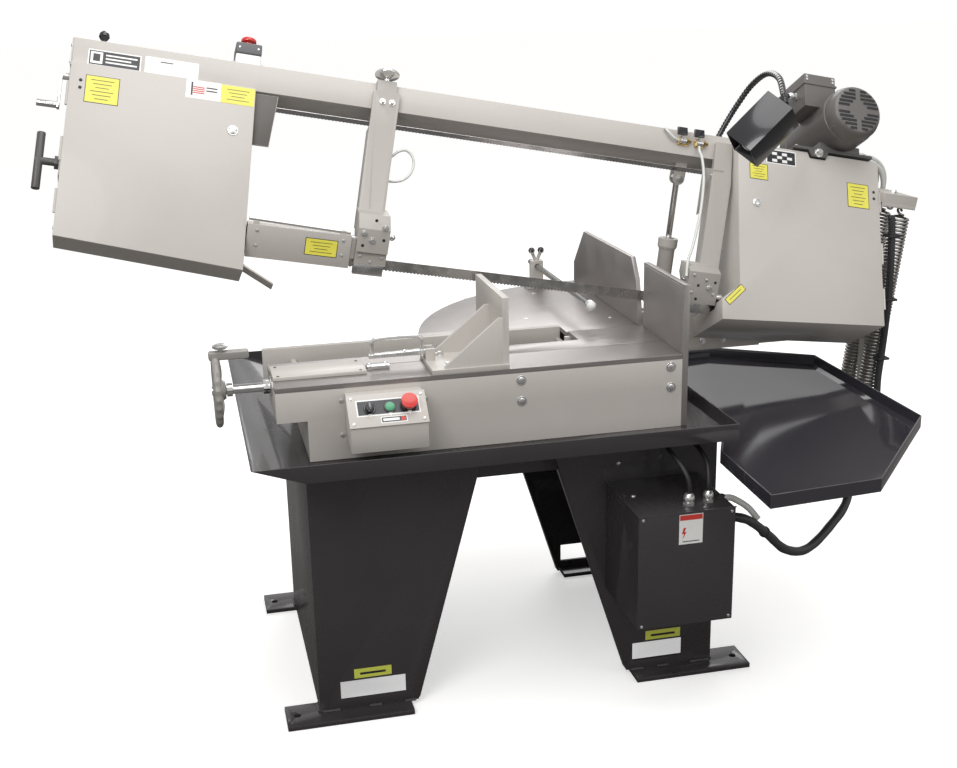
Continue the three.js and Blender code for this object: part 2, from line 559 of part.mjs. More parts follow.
export default group;
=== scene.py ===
# Looks for the horizontal band saw: bodies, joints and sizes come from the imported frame.
import math
import random

import bmesh
import bpy
from mathutils import Matrix, Vector


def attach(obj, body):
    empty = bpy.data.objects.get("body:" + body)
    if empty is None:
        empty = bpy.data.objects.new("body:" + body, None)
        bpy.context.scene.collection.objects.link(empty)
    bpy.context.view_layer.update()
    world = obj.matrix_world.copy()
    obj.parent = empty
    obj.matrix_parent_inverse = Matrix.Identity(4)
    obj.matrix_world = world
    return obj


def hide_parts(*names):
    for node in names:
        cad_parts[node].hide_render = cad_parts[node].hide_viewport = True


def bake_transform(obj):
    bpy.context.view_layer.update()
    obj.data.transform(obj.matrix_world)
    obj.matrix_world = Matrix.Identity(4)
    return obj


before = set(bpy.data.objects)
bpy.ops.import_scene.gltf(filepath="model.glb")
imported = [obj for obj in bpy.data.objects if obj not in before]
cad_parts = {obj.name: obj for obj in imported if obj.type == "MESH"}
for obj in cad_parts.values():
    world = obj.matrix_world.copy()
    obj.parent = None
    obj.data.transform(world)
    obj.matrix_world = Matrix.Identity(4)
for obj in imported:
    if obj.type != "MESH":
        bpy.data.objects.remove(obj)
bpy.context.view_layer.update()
random.seed(7)

# ---- frames: world, straight (along the raised head) and canted (in the wheel plane), mm to metres ----
MM = 0.001
RISE = math.radians(10.6)
CANT = math.radians(30)
CUT = Vector((86.8, 300, 1019.9))
ORIGIN = Vector((141.27, 231, 0))
WORLD = Matrix.Scale(MM, 4) @ Matrix.Translation(-ORIGIN)
STRAIGHT = WORLD @ Matrix.Translation(CUT) @ Matrix.Rotation(RISE, 4, "Y")
CANTED = STRAIGHT @ Matrix.Rotation(-CANT, 4, "X")
UP, DOWN = (0, 0, 1), (0, 0, -1)
FRONT, BACK = (0, -1, 0), (0, 1, 0)
LEFT, RIGHT = (-1, 0, 0), (1, 0, 0)
# the band's radius round the wheels, whose axles are as far above its lower run; axles, faces and axes in mm
BAND_R = 185.8
IDLER_X = -862
DRIVE_X = 851
IDLER_FACE = -40
DRIVE_FACE = -62
BEAM_FRONT = -22
BEAM_TOP = 474
SCREW_Y, SCREW_Z = 110, 848
MOTOR_X, MOTOR_Z = 950, 543

# ---- camera ----
CAMERA_AT = Vector((-707.6, -2886.7, 1750.0))
YAW, PITCH, ROLL = (math.radians(a) for a in (12.92, 17.02, 1.18))


def camera():
    ahead = Vector((math.sin(YAW) * math.cos(PITCH), math.cos(YAW) * math.cos(PITCH), -math.sin(PITCH)))
    right = Vector((math.cos(YAW), -math.sin(YAW), 0))
    down = ahead.cross(right)
    side = right * math.cos(ROLL) + down * math.sin(ROLL)
    below = -right * math.sin(ROLL) + down * math.cos(ROLL)
    data = bpy.data.cameras.new("camera")
    data.lens = 50.0
    data.sensor_width = 36.0
    data.clip_end = 60
    obj = bpy.data.objects.new("camera", data)
    turn = Matrix((side, -below, -ahead)).transposed().to_4x4()
    obj.matrix_world = Matrix.Translation((CAMERA_AT - ORIGIN) * MM) @ turn
    bpy.context.scene.collection.objects.link(obj)
    bpy.context.scene.camera = obj


# ---- materials ----
M = {}
EDGE_WEAR = 1.2


def put(n, **values):
    """Sets a node's properties and sockets; a socket's spaces are written as underscores."""
    for key, value in values.items():
        if hasattr(n, key):
            setattr(n, key, value)
        else:
            n.inputs[key.replace("_", " ")].default_value = value
    return n


def new_node(tree, kind, **values):
    return put(tree.nodes.new("ShaderNode" + kind), **values)


def link(source, out, target, into):
    source.id_data.links.new(source.outputs[out], target.inputs[into])


def shade(rgb, k):
    return [min(1.0, c * k) for c in rgb] + [1.0]


def spread_range(t, lo, hi):
    """Maps the usual spread of a noise texture to lo...hi."""
    return new_node(t, "MapRange", From_Min=0.3, From_Max=0.7, To_Min=lo, To_Max=hi)


def finish(name, rgb, rough, metal=0.0, vary=0.06, patch=5.0, grain=0.12, grain_scale=900.0, depth=0.0003,
    edge=None, rough_vary=0.08, stretch=(1, 1, 1), coat=0.0, speck=0.04):
    """A painted, ground, cast or moulded surface: broad and fine colour variation, grain bump, worn edges."""
    m = bpy.data.materials.new(name)
    m.use_nodes = True
    t = m.node_tree
    b = put(t.nodes["Principled BSDF"], Metallic=metal, Coat_Weight=coat, Coat_Roughness=0.06)
    scaled = new_node(t, "Mapping", Scale=stretch)
    link(new_node(t, "TexCoord"), "Object", scaled, "Vector")
    broad = new_node(t, "TexNoise", Scale=patch, Detail=5.0, Roughness=0.6)
    fine = new_node(t, "TexNoise", Scale=grain_scale, Detail=2.0)
    for n in (broad, fine):
        link(scaled, "Vector", n, "Vector")
    tone = new_node(t, "Mix", data_type="RGBA", A=shade(rgb, 1 - vary), B=shade(rgb, 1 + vary))
    link(broad, "Fac", tone, "Factor")
    dots = spread_range(t, 1 - speck, 1 + speck)
    link(fine, "Fac", dots, "Value")
    colour = new_node(t, "Mix", data_type="RGBA", blend_type="MULTIPLY", Factor=1.0)
    link(tone, "Result", colour, "A")
    link(dots, "Result", colour, "B")
    if edge:
        soft = new_node(t, "Bevel", samples=3, Radius=EDGE_WEAR * MM)
        dot = new_node(t, "VectorMath", operation="DOT_PRODUCT")
        link(soft, "Normal", dot, 0)
        link(new_node(t, "NewGeometry"), "Normal", dot, 1)
        rub = new_node(t, "MapRange", From_Min=0.995, From_Max=0.9, To_Min=0.0, To_Max=0.8)
        link(dot, "Value", rub, "Value")
        worn = new_node(t, "Mix", data_type="RGBA", B=[*edge, 1.0])
        link(rub, "Result", worn, "Factor")
        link(colour, "Result", worn, "A")
        colour = worn
    link(colour, "Result", b, "Base Color")
    gloss = spread_range(t, max(0.02, rough - rough_vary), rough + rough_vary)
    link(broad, "Fac", gloss, "Value")
    link(gloss, "Result", b, "Roughness")
    bump = new_node(t, "Bump", Strength=grain, Distance=depth)
    link(fine, "Fac", bump, "Height")
    link(bump, "Normal", b, "Normal")
    M[name] = m
    return m


def braid(name, rgb, light, rough, metal=0.0, pitch=420.0):
    """Woven sleeve: two crossed sets of diagonal ribs."""
    t = finish(name, rgb, rough, metal, vary=0.2, patch=30.0).node_tree
    b = t.nodes["Principled BSDF"]
    place = new_node(t, "TexCoord")
    ribs = new_node(t, "Math", operation="MAXIMUM")
    for side, turn in enumerate((0.8, -0.8)):
        spun = new_node(t, "Mapping", Rotation=(turn, turn * 0.6, 0.3))
        link(place, "Object", spun, "Vector")
        wave = new_node(t, "TexWave", Scale=pitch / 6.283)
        link(spun, "Vector", wave, "Vector")
        link(wave, "Fac", ribs, side)
    weave = new_node(t, "Mix", data_type="RGBA", A=[*rgb, 1], B=[*light, 1])
    link(ribs, "Value", weave, "Factor")
    link(weave, "Result", b, "Base Color")
    bump = new_node(t, "Bump", Strength=0.5, Distance=0.0006)
    link(ribs, "Value", bump, "Height")
    link(bump, "Normal", b, "Normal")


GREY = (0.52, 0.49, 0.455)
finish("paint_grey", GREY, 0.42, edge=(0.66, 0.63, 0.6), grain=0.3, vary=0.07, coat=0.08, speck=0.08)
finish("paint_bright", GREY, 0.4, edge=(0.62, 0.59, 0.56), grain=0.25, coat=0.1)
# The body grey made about a quarter darker, for the guide arms and the plates beside them.
finish("paint_arm", (0.40, 0.375, 0.345), 0.42, edge=(0.56, 0.54, 0.5), grain=0.25, coat=0.08)
finish("paint_dark", (0.043, 0.038, 0.041), 0.26, edge=(0.1, 0.095, 0.1), grain=0.2, vary=0.12, coat=0.35,
    depth=0.0004)
# Painted shadow: a near-black grey laid on a face that lies in shade.
finish("painted_shadow", (0.10, 0.09, 0.08), 0.45, edge=(0.3, 0.28, 0.26), grain=0.25, coat=0.05)
finish("gloss_dark", (0.034, 0.032, 0.04), 0.07, edge=(0.1, 0.1, 0.11), grain=0.03, vary=0.1, coat=0.6,
    rough_vary=0.03)
finish("table_steel", (0.36, 0.335, 0.325), 0.36, metal=0.75, vary=0.16, patch=14.0, stretch=(1, 14, 14),
    grain_scale=160.0, grain=0.16, edge=(0.6, 0.58, 0.56), speck=0.06)
finish("plate_steel", (0.33, 0.31, 0.30), 0.42, metal=0.6, vary=0.22, patch=9.0, grain=0.2, grain_scale=420.0,
    edge=(0.55, 0.53, 0.51), speck=0.05)
finish("bright_steel", (0.62, 0.61, 0.60), 0.24, metal=1.0, vary=0.08, patch=40.0, grain=0.08)
finish("chrome", (0.80, 0.80, 0.80), 0.13, metal=1.0, vary=0.05, patch=60.0, grain=0.03, rough_vary=0.04)
finish("zinc", (0.74, 0.74, 0.73), 0.28, metal=0.85, vary=0.1, patch=90.0, grain=0.1)
finish("cast_dark", (0.085, 0.08, 0.078), 0.46, vary=0.12, grain=0.5, grain_scale=600.0, depth=0.0005,
    edge=(0.16, 0.155, 0.15), coat=0.1)
finish("motor_grey", (0.135, 0.125, 0.12), 0.4, vary=0.08, grain=0.35, grain_scale=700.0,
    edge=(0.22, 0.21, 0.2), coat=0.12)
finish("wheel_grey", (0.30, 0.285, 0.265), 0.42, vary=0.1, grain=0.35, grain_scale=600.0,
    edge=(0.45, 0.43, 0.4), coat=0.1)
finish("spring_steel", (0.36, 0.345, 0.33), 0.3, metal=0.9, vary=0.2, patch=25.0, grain=0.15)
finish("black_plastic", (0.016, 0.015, 0.018), 0.42, vary=0.15, grain=0.3, grain_scale=1100.0,
    edge=(0.05, 0.05, 0.055))
finish("black_gloss", (0.014, 0.013, 0.017), 0.16, vary=0.12, grain=0.05, coat=0.5, edge=(0.06, 0.06, 0.065))
finish("grey_plastic", (0.11, 0.11, 0.12), 0.45, grain=0.3, grain_scale=1100.0)
finish("white_plastic", (0.80, 0.80, 0.79), 0.4, vary=0.03, grain=0.15)
finish("red_plastic", (0.62, 0.035, 0.028), 0.28, vary=0.08, patch=60.0, grain=0.06, coat=0.4)
finish("green_plastic", (0.06, 0.33, 0.16), 0.3, vary=0.08, patch=60.0, grain=0.06, coat=0.3)
finish("brass", (0.62, 0.44, 0.18), 0.25, metal=1.0, vary=0.1, patch=80.0, grain=0.06)
finish("clear_hose", (0.66, 0.67, 0.64), 0.2, vary=0.08, patch=40.0, grain=0.04, coat=0.4)
finish("rubber", (0.02, 0.019, 0.021), 0.5, vary=0.15, patch=40.0, grain=0.3, grain_scale=800.0)
for name, rgb, rough, vary, coat in (
        ("white", (0.86, 0.86, 0.84), 0.3, 0.03, 0.2),
        ("yellow", (0.80, 0.74, 0.10), 0.32, 0.05, 0.2),
        ("lime", (0.62, 0.66, 0.10), 0.35, 0.05, 0.0),
        ("black", (0.018, 0.018, 0.024), 0.3, 0.08, 0.2),
        ("red", (0.62, 0.05, 0.04), 0.32, 0.05, 0.0)):
    finish("label_" + name, rgb, rough, vary=vary, patch=30.0, grain=0.04, coat=coat)
finish("weld", (0.05, 0.046, 0.048), 0.35, vary=0.3, patch=120.0, grain=0.8, grain_scale=260.0, depth=0.0012,
    coat=0.3)
braid("hose_black", (0.012, 0.012, 0.013), (0.055, 0.055, 0.058), 0.42)
braid("hose_braid", (0.30, 0.29, 0.27), (0.62, 0.61, 0.58), 0.3, metal=0.3, pitch=700.0)


# ---- mesh building, in millimetres of one of the frames ----
def box(x0, x1, y0, y1, z0, z1, bevel=1.0, seg=2):
    bm = bmesh.new()
    bmesh.ops.create_cube(bm, size=1.0)
    for v in bm.verts:
        v.co = Vector((x0 + (v.co.x + 0.5) * (x1 - x0), y0 + (v.co.y + 0.5) * (y1 - y0), z0
            + (v.co.z + 0.5) * (z1 - z0)))
    return rounded(bm, bevel, seg)


def rounded(bm, bevel, seg=2):
    if bevel:
        sharp = [e for e in bm.edges if len(e.link_faces) == 2 and e.calc_face_angle() > 0.6]
        bmesh.ops.bevel(bm, geom=sharp, offset=bevel, segments=seg, affect="EDGES", profile=0.6,
            clamp_overlap=True)
    return bm


AXES = {"x": lambda u, v, w: Vector((w, u, v)), "y": lambda u, v, w: Vector((u, w, v)), "z": lambda u, v,
    w: Vector((u, v, w))}


def prism(points, lo, hi, axis="y", bevel=0.8, seg=2):
    """An outline carried along an axis: (y, z) for x, (x, z) for y, (x, y) for z."""
    bm = bmesh.new()
    at = AXES[axis]
    rings = [[bm.verts.new(at(u, v, w)) for u, v in points] for w in (lo, hi)]
    n = len(points)
    for i in range(n):
        j = (i + 1) % n
        bm.faces.new((rings[0][i], rings[0][j], rings[1][j], rings[1][i]))
    bm.faces.new(rings[0][::-1])
    bm.faces.new(rings[1])
    bmesh.ops.recalc_face_normals(bm, faces=bm.faces)
    return rounded(bm, bevel, seg)


def toward(a, b):
    """Matrix that stands +Z at a, pointing to b."""
    a, b = Vector(a), Vector(b)
    return Matrix.Translation(a) @ (b - a).to_track_quat("Z", "Y").to_matrix().to_4x4()


def lathe(profile, a, b, seg=32, spin=0.0):
    """Turned piece: (radius, distance from a towards b)."""
    bm = bmesh.new()
    rings = []
    for r, s in profile:
        if r < 1e-6:
            rings.append([bm.verts.new((0, 0, s))])
        else:
            rings.append([bm.verts.new((r * math.cos(spin + 2 * math.pi * i / seg),
                r * math.sin(spin + 2 * math.pi * i / seg), s)) for i in range(seg)])
    for lower, upper in zip(rings, rings[1:]):
        for i in range(seg):
            j = (i + 1) % seg
            if len(lower) == 1 and len(upper) == 1:
                break
            if len(lower) == 1:
                bm.faces.new((lower[0], upper[j], upper[i]))
            elif len(upper) == 1:
                bm.faces.new((lower[i], lower[j], upper[0]))
            else:
                bm.faces.new((lower[i], lower[j], upper[j], upper[i]))
    for end in (rings[0], rings[-1]):
        if len(end) > 1 and rings[0] is not rings[-1] and profile[0] != profile[-1]:
            bm.faces.new(end)
    bmesh.ops.remove_doubles(bm, verts=bm.verts, dist=1e-4)
    bmesh.ops.recalc_face_normals(bm, faces=bm.faces)
    bm.transform(toward(a, b))
    return bm


def rod(a, b, r, seg=24, bevel=0.8, r2=None):
    length = (Vector(b) - Vector(a)).length
    r2 = r if r2 is None else r2
    c = min(bevel, r * 0.4, length * 0.3)
    return lathe([(0, 0), (r - c, 0), (r, c), (r2, length - c), (r2 - c, length), (0, length)], a, b, seg)


def ring(a, b, outer, inner, seg=32):
    length = (Vector(b) - Vector(a)).length
    c = min(1.0, (outer - inner) * 0.3, length * 0.3)
    return lathe([(inner, 0), (outer - c, 0), (outer, c), (outer, length - c), (outer - c, length),
        (inner, length), (inner, 0)], a, b, seg)


def spline(points, per=8):
    """Smooth curve through the points (centripetal-like Catmull-Rom)."""
    p = [Vector(q) for q in points]
    p = [p[0] * 2 - p[1]] + p + [p[-1] * 2 - p[-2]]
    out = []
    for i in range(1, len(p) - 2):
        for k in range(per):
            s = k / per
            out.append(0.5 * (2 * p[i] + (p[i + 1] - p[i - 1]) * s
                + (2 * p[i - 1] - 5 * p[i]
                + 4 * p[i + 1] - p[i + 2]) * s ** 2 + (3 * p[i] - p[i - 1] - 3 * p[i + 1]
                + p[i + 2]) * s ** 3))
    return out + [p[-2]]


def join_rings(bm, rings):
    """Quads between each ring of vertices and the next."""
    for lower, upper in zip(rings, rings[1:]):
        for j in range(len(lower)):
            m = (j + 1) % len(lower)
            bm.faces.new((lower[j], lower[m], upper[m], upper[j]))


def tube(path, r, seg=12, radius=None):
    """Tube along dense points; radius(fraction) can swell it."""
    path = [Vector(q) for q in path]
    bm = bmesh.new()
    tangent = (path[1] - path[0]).normalized()
    normal = tangent.orthogonal().normalized()
    rings = []
    for i, p in enumerate(path):
        ahead = (path[min(i + 1, len(path) - 1)] - path[max(i - 1, 0)]).normalized()
        normal = (tangent.rotation_difference(ahead) @ normal).normalized()
        tangent = ahead
        side = tangent.cross(normal)
        k = r * (radius(i / (len(path) - 1)) if radius else 1.0)
        rings.append([bm.verts.new(p + (normal * math.cos(a) + side * math.sin(a)) * k)
            for a in (2 * math.pi * j / seg for j in range(seg))])
    join_rings(bm, rings)
    bm.faces.new(rings[0][::-1])
    bm.faces.new(rings[-1])
    bmesh.ops.recalc_face_normals(bm, faces=bm.faces)
    return bm


def helix(a, b, r, turns, per=16, phase=0.0):
    m = toward(a, b)
    length = (Vector(b) - Vector(a)).length
    n = int(turns * per)
    return [m @ Vector((r * math.cos(phase + 2 * math.pi * i / per),
        r * math.sin(phase + 2 * math.pi * i / per), length * i / n)) for i in range(n + 1)]


def ball(at, r, seg=24):
    at = Vector(at)
    steps = seg // 2
    return lathe([(r * math.sin(math.pi * i / steps), -r * math.cos(math.pi * i / steps))
        for i in range(steps + 1)], at, at + Vector(UP), seg)


def hexbolt(at, out, size=6.0, washer=True):
    """Hex head (size = half width over corners) standing on at along out, with a washer."""
    at, out = Vector(at), Vector(out).normalized()
    head = lathe([(0, 0), (size, 0), (size, size * 0.9), (size * 0.82, size * 1.15), (0, size * 1.15)], at
        + out * (1.2 if washer else 0), at + out * 10, 6, spin=random.uniform(0, 1))
    if not washer:
        return [head]
    return [head, ring(at, at + out * 1.4, size * 1.45, size * 0.5, 24)]


def dome(at, out, r=4.0, h=0.55):
    """Round screw head."""
    at, out = Vector(at), Vector(out).normalized()
    return lathe([(0, 0), (r, 0), (r, r * h * 0.3), (r * 0.82, r * h * 0.8), (r * 0.4, r * h), (0, r * h)],
        at, at + out, 20)


def flat(shapes):
    """The meshes in a list of meshes and lists."""
    return [bm for m in shapes for bm in flat(m)] if isinstance(shapes, list) else [shapes]


def piece(name, body, place, parts, replaces=(), angle=35):
    """One object from [(material name, mesh or list of meshes), ...]."""
    mesh = bpy.data.meshes.new(name)
    whole = bmesh.new()
    for index, (material, shapes) in enumerate(parts):
        mesh.materials.append(M[material])
        for bm in flat(shapes):
            start = len(whole.faces)
            part = bpy.data.meshes.new("part")
            bm.to_mesh(part)
            bm.free()
            whole.from_mesh(part)
            bpy.data.meshes.remove(part)
            whole.faces.ensure_lookup_table()
            for f in whole.faces[start:]:
                f.material_index = index
                f.smooth = True
    whole.transform(place)
    whole.to_mesh(mesh)
    whole.free()
    mesh.set_sharp_from_angle(angle=math.radians(angle))
    obj = bpy.data.objects.new(name, mesh)
    bpy.context.scene.collection.objects.link(obj)
    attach(obj, body)
    if replaces:
        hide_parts(*replaces)
    return obj


# ---- CAD nodes: rounded edges, smooth rounds and their finishes ----
def smooth_group():
    g = bpy.data.node_groups.new("smooth_by_angle", "GeometryNodeTree")
    for way in ("INPUT", "OUTPUT"):
        g.interface.new_socket("Geometry", in_out=way, socket_type="NodeSocketGeometry")
    start, end = g.nodes.new("NodeGroupInput"), g.nodes.new("NodeGroupOutput")
    angle = g.nodes.new("GeometryNodeInputMeshEdgeAngle")
    less = g.nodes.new("FunctionNodeCompare")
    less.operation = "LESS_THAN"
    less.inputs[1].default_value = math.radians(32)
    edges, faces = g.nodes.new("GeometryNodeSetShadeSmooth"), g.nodes.new("GeometryNodeSetShadeSmooth")
    edges.domain, faces.domain = "EDGE", "FACE"
    link(angle, "Unsigned Angle", less, 0)
    link(start, 0, faces, "Geometry")
    link(faces, 0, edges, "Geometry")
    link(less, 0, edges, "Shade Smooth")
    link(edges, 0, end, 0)
    return g


def dress(node, material, bevel=1.2):
    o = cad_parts[node]
    for s in o.material_slots:
        s.material = M[material]
    weld = o.modifiers.new("weld", "WELD")
    weld.merge_threshold = 0.00002
    if bevel:
        b = o.modifiers.new("bevel", "BEVEL")
        b.width = bevel * MM
        b.segments = 2
        b.limit_method = "ANGLE"
        b.angle_limit = math.radians(40)
    s = o.modifiers.new("smooth", "NODES")
    s.node_group = SMOOTH


SMOOTH = smooth_group()
DRESS = {
    "paint_dark": "leg_left leg_right foot_front_left foot_front_right foot_rear_left "
        "foot_rear_right apron chip_pan electrical_box electrical_cover",
    "gloss_dark": "chip_tray",
    "paint_grey": "bed_frame screw_cover moving_jaw control_box swivel_arm cylinder_barrel beam "
        "idler_housing drive_housing belt_guard blade_guard stop_bracket",
    "paint_bright": "idler_cover drive_cover",
    "paint_arm": "guide_arm_left guide_arm_right",
    "table_steel": "table_front_rail table_plate quadrant_table",
    "plate_steel": "fixed_jaw rear_fence",
    "bright_steel": "blade pivot_shaft",
    "chrome": "lead_screw stop_rod cylinder_rod crank_handle arm_knob",
    "cast_dark": "tension_handle swivel_pin motor_plate gearbox",
    "wheel_grey": "idler_wheel drive_wheel",
    "motor_grey": "motor",
    "black_plastic": "selector_knob estop_box gooseneck",
    "black_gloss": "lamp_head ball_lever",
    "red_plastic": "estop_button stop_button",
    "green_plastic": "start_button",
    "zinc": "handwheel release_lever",
    "spring_steel": "spring_front spring_rear",
    "hose_black": "power_bundle",
    "hose_braid": "coolant_hose",
}
THIN = {"blade": 0.2, "electrical_cover": 0.8, "chip_pan": 0.8, "chip_tray": 0.8, "release_lever": 0.6,
    "gooseneck": 0, "power_bundle": 0, "coolant_hose": 0, "screw_cover": 0.8, "ball_lever": 0}
for material, names in DRESS.items():
    for n in names.split():
        dress(n, material, THIN.get(n, 1.2))

camera()


# ---- small fittings shared by the pieces ----
def grid(xs, zs):
    return [(x, z) for x in xs for z in zs]


def each(make, y, spots, *how):
    """The same fitting at every (x, z) of spots, at depth y."""
    return [make((x, y, z), *how) for x, z in spots]


def label(x0, x1, z0, z1, y, face, lines=3, side=-1, border="label_black", ink="label_black", rim=1.6,
    head=None):
    """Bordered sticker on an x-z face at depth y, facing side, with plain bars in place of words."""
    def layer(k, x0, x1, z0, z1):
        return box(x0, x1, *sorted((y, y + 0.35 * k * side)), z0, z1, 0)

    parts = [(border, layer(1, x0, x1, z0, z1)), (face, layer(1.5, x0 + rim, x1 - rim, z0 + rim, z1 - rim))]
    height = (z1 - z0 - 2 * rim) / (lines + 1) if lines else 0
    bars = []
    for i in range(lines):
        z = z0 + rim + (lines - i) * height
        inset = (x1 - x0) * (0.16 + 0.07 * ((i * 7) % 3))
        bars.append(layer(1.9, x0 + inset, x1 - inset, z - height * 0.085, z + height * 0.085))
    if bars:
        parts.append((ink, bars))
    if head:
        parts.append((head, layer(2.1, x0 + rim, x1 - rim, z1 - rim - (z1 - z0) * 0.17, z1 - rim)))
    return parts


def blank_plate(*where, **more):
    return label(*where, "label_white", 0, border="label_white", **more)


def hose(name, body, place, points, r, material, replaces=(), per=8, stiffness="stiff", lay="loose",
    slot=None, **more):
    """A cord, cable or hose: a tube along a smooth curve."""
    path = spline(points, per)
    obj = piece(name, body, place, [(material, tube(path, r, **more))], replaces=replaces)
    return obj


def latch(x, z, rivet_x, y):
    """A cover's round latch at (x, z) and the two rivets at its hinge side."""
    return [("zinc", [dome((x, y, z), FRONT, 11, 0.35), ring((x, y, z), (x, y - 1.5, z), 13, 9)]),
        ("black_plastic", [dome((rivet_x, y, z), FRONT, 4, 0.5) for z in (357, 338)])]


def gland(at, out, r=9.0):
    """Cable gland with a hexagonal foot, standing on at along out."""
    at, out = Vector(at), Vector(out).normalized()
    return [lathe([(0, 0), (r * 1.25, 0), (r * 1.25, 6), (r, 7), (0, 7)], at, at + out, 6),
        lathe([(r * 0.85, 6), (r * 0.85, 12), (r * 1.12, 13), (r * 1.12, 19), (r * 0.8, 26), (r * 0.55, 28)],
        at, at + out, 24)]


# ---- idler end of the head ----
piece("idler_cover_fittings", "idler_door", CANTED, latch(-694, 283, -1054, IDLER_FACE) + [
    ("paint_bright", [box(-1077, -650, -38.5, -36.2, 399, 402, 0.5)]),
])
piece("idler_cover_warning", "idler_door", CANTED,
    label(-1043, -965, 303, 373, IDLER_FACE, "label_yellow", 6))
piece("idler_cover_plate_white", "idler_door", CANTED, blank_plate(-812, -729, 352, 400, IDLER_FACE) + [
    ("label_black", box(-800, -796, -41.2, -40.4, 360, 394, 0)),
    ("label_red", [box(-795, -768, -41.0, -40.4, z, z + 2.4, 0) for z in (366, 371, 376, 381)]),
    ("label_black", [box(-764, -738, -41.0, -40.4, z, z + 3, 0) for z in (382, 374)]),
])
piece("idler_cover_plate_yellow", "idler_door", CANTED,
    label(-728, -648, 352, 399, IDLER_FACE, "label_yellow", 4, border="label_yellow"))
piece("idler_hinge", "head", CANTED, [
    ("paint_grey", [rod((-1081.5, -37.5, z), (-1081.5, -37.5, z + 60), 3.2, 16) for z in (20, 150, 290)]),
    ("zinc", [dome((-1079, y, z), LEFT, 5) for y in (-20, 30) for z in (-10, 360)]),
])
piece("idler_back", "head", CANTED, [
    ("paint_grey", [box(-940, -784, 47, 62, 120, 250, 3), box(-1060, -940, 47, 55, 168, 204, 2)]),
    ("cast_dark", [rod((IDLER_X, 62, BAND_R), (IDLER_X, 74, BAND_R), 26, 32, 2)]),
    ("zinc", hexbolt((IDLER_X, 74, BAND_R), BACK, 15)
        + each(hexbolt, 62, grid((-925, -799), (135, 235)), BACK, 7)),
])
gusset = [(-645.7, 397), (-589.5, 397), (-605.2, 263), (-645.7, 263)]
# Thin dark sheet on the gusset's front face: painted shadow where the gusset lies in shade under the beam.
piece("idler_gusset_painted_shadow", "head", CANTED, [("painted_shadow", [prism(gusset, -22.2, -21.1, "y", 0.3)])])
piece("idler_axle_nut", "head", CANTED, [
    ("zinc", hexbolt((IDLER_X, -20, BAND_R), FRONT, 12)),
    ("brass", ring((IDLER_X, -15.2, BAND_R), (IDLER_X, -19.5, BAND_R), 24, 14.6)),
])
piece("tension_collar", "head", CANTED, [
    ("zinc", [ring((-1079.2, 0, 158), (-1080.6, 0, 158), 26, 18.5), dome((-1079.2, 26, 136), LEFT, 4)]),
    ("paint_grey", [box(-1083, -1079, -24, 28, 118, 198, 1.2)]),
])
piece("ball_lever_stem", "head", CANTED, [("zinc",
    [rod((-1013, 20, 473), (-1013, 20, 478.8), 8, 20), dome((-996, 20, BEAM_TOP), UP, 4)])])
piece("crank_bearing", "head", CANTED, [
    ("zinc", [ring((-1079, 10, 384), (-1079.3, 10, 384), 14, 8.5)]),
    ("paint_grey", [box(-1082, -1079, -10, 30, 366, 402, 1)]),
])

# ---- beam, plates, stop station ----
piece("beam_end_plate", "head", CANTED, [
    ("paint_grey", [box(-1083, -1079.2, -22, 68, 402.5, BEAM_TOP, 1.5)]),
    ("zinc", [dome((-1083, y, z), LEFT, 5) for y in (-8, 54) for z in (416, 460)]),
])
dark_plate = label(-1044, -921, 408, 450, BEAM_FRONT, "label_black", 0, border="label_white", rim=3)
piece("beam_plate_dark", "head", CANTED, dark_plate + [
    ("label_white", [box(-1038, -1010, -22.9, -22.3, 414, 444, 0)]
        + [box(-1003, end, -22.9, -22.3, z, z + 4, 0) for end, z in ((-930, 436), (-944, 427), (-930, 418))]),
    ("label_black", [box(-1032, -1016, -23.2, -22.8, 420, 439, 0)]),
])
piece("beam_plate_white", "head", CANTED, blank_plate(-912, -785, 409, 453, BEAM_FRONT)
    + [("label_black", [box(-876, -846, -22.9, -22.4, 441, 443.5, 0)])])
piece("estop_station", "head", CANTED, [
    ("white_plastic", [box(-698, -636, -10, 48, 474.4, 506, 4, 3)]),
    ("grey_plastic", [box(-699, -635, -11, 49, 506.5, 537, 5, 3),
        ring((-667, 19, 536.5), (-667, 19, 540), 17, 11.5)]),
    ("zinc", [dome((x, -11, 522), FRONT, 3) for x in (-690, -644)]),
    ("clear_hose", gland((-699, 20, 488), LEFT, 7) + gland((-635, 20, 488), RIGHT, 7)),
], replaces=("estop_box",))
for name, way in (("left", -1), ("right", 1)):
    hose("estop_cable_" + name, "head", CANTED, [(-667 + way * x, y, z) for x, y, z in (
        (60, 20, 488), (71, 20, 491), (83, 20, 494.5), (97, 20, 495), (110, 20, 490), (119, 21, 482),
        (123, 22, BEAM_TOP))], 3.6, "clear_hose")
piece("cable_entries", "head", CANTED, [("zinc",
    [ring((x, 22, 473.8), (x, 22, 477.5), 9, 3.5) for x in (-790, -544)])])
piece("beam_bolts", "head", CANTED, [
    ("zinc", each(hexbolt, 68, grid((-1040, -900, -700, 560, 610), (420, 458)), BACK, 7)
        + [hexbolt((x, 22, BEAM_TOP), UP, 7) for x in (-1050, 604)]),
])
valve_x = (486, 535)
piece("coolant_valves", "head", CANTED, [
    ("black_gloss", [box(x - 14, x + 14, -48, -40, 451, 472, 1.5) for x in valve_x]),
    ("zinc", [[rod((x, -22, 452), (x, -41, 452), 5, 16), rod((x - 2, -31, 440), (x + 16, -31, 440), 7.5, 20)]
        for x in valve_x]),
    ("brass", [[lathe([(0, 0), (8.5, 0), (8.5, 7), (5, 9), (5, 14), (0, 14)], (x + 16, -31, 440),
        (x + 30, -31, 440), 6), box(x - 6, x + 20, -26, -22, 430, 450, 1)] for x in valve_x]),
])
hose("valve_hose", "head", CANTED, [(482, -31, 440), (470, -32, 443), (459, -31, 452), (449, -29, 464),
    (443, -26, 473)], 3.5, "clear_hose")

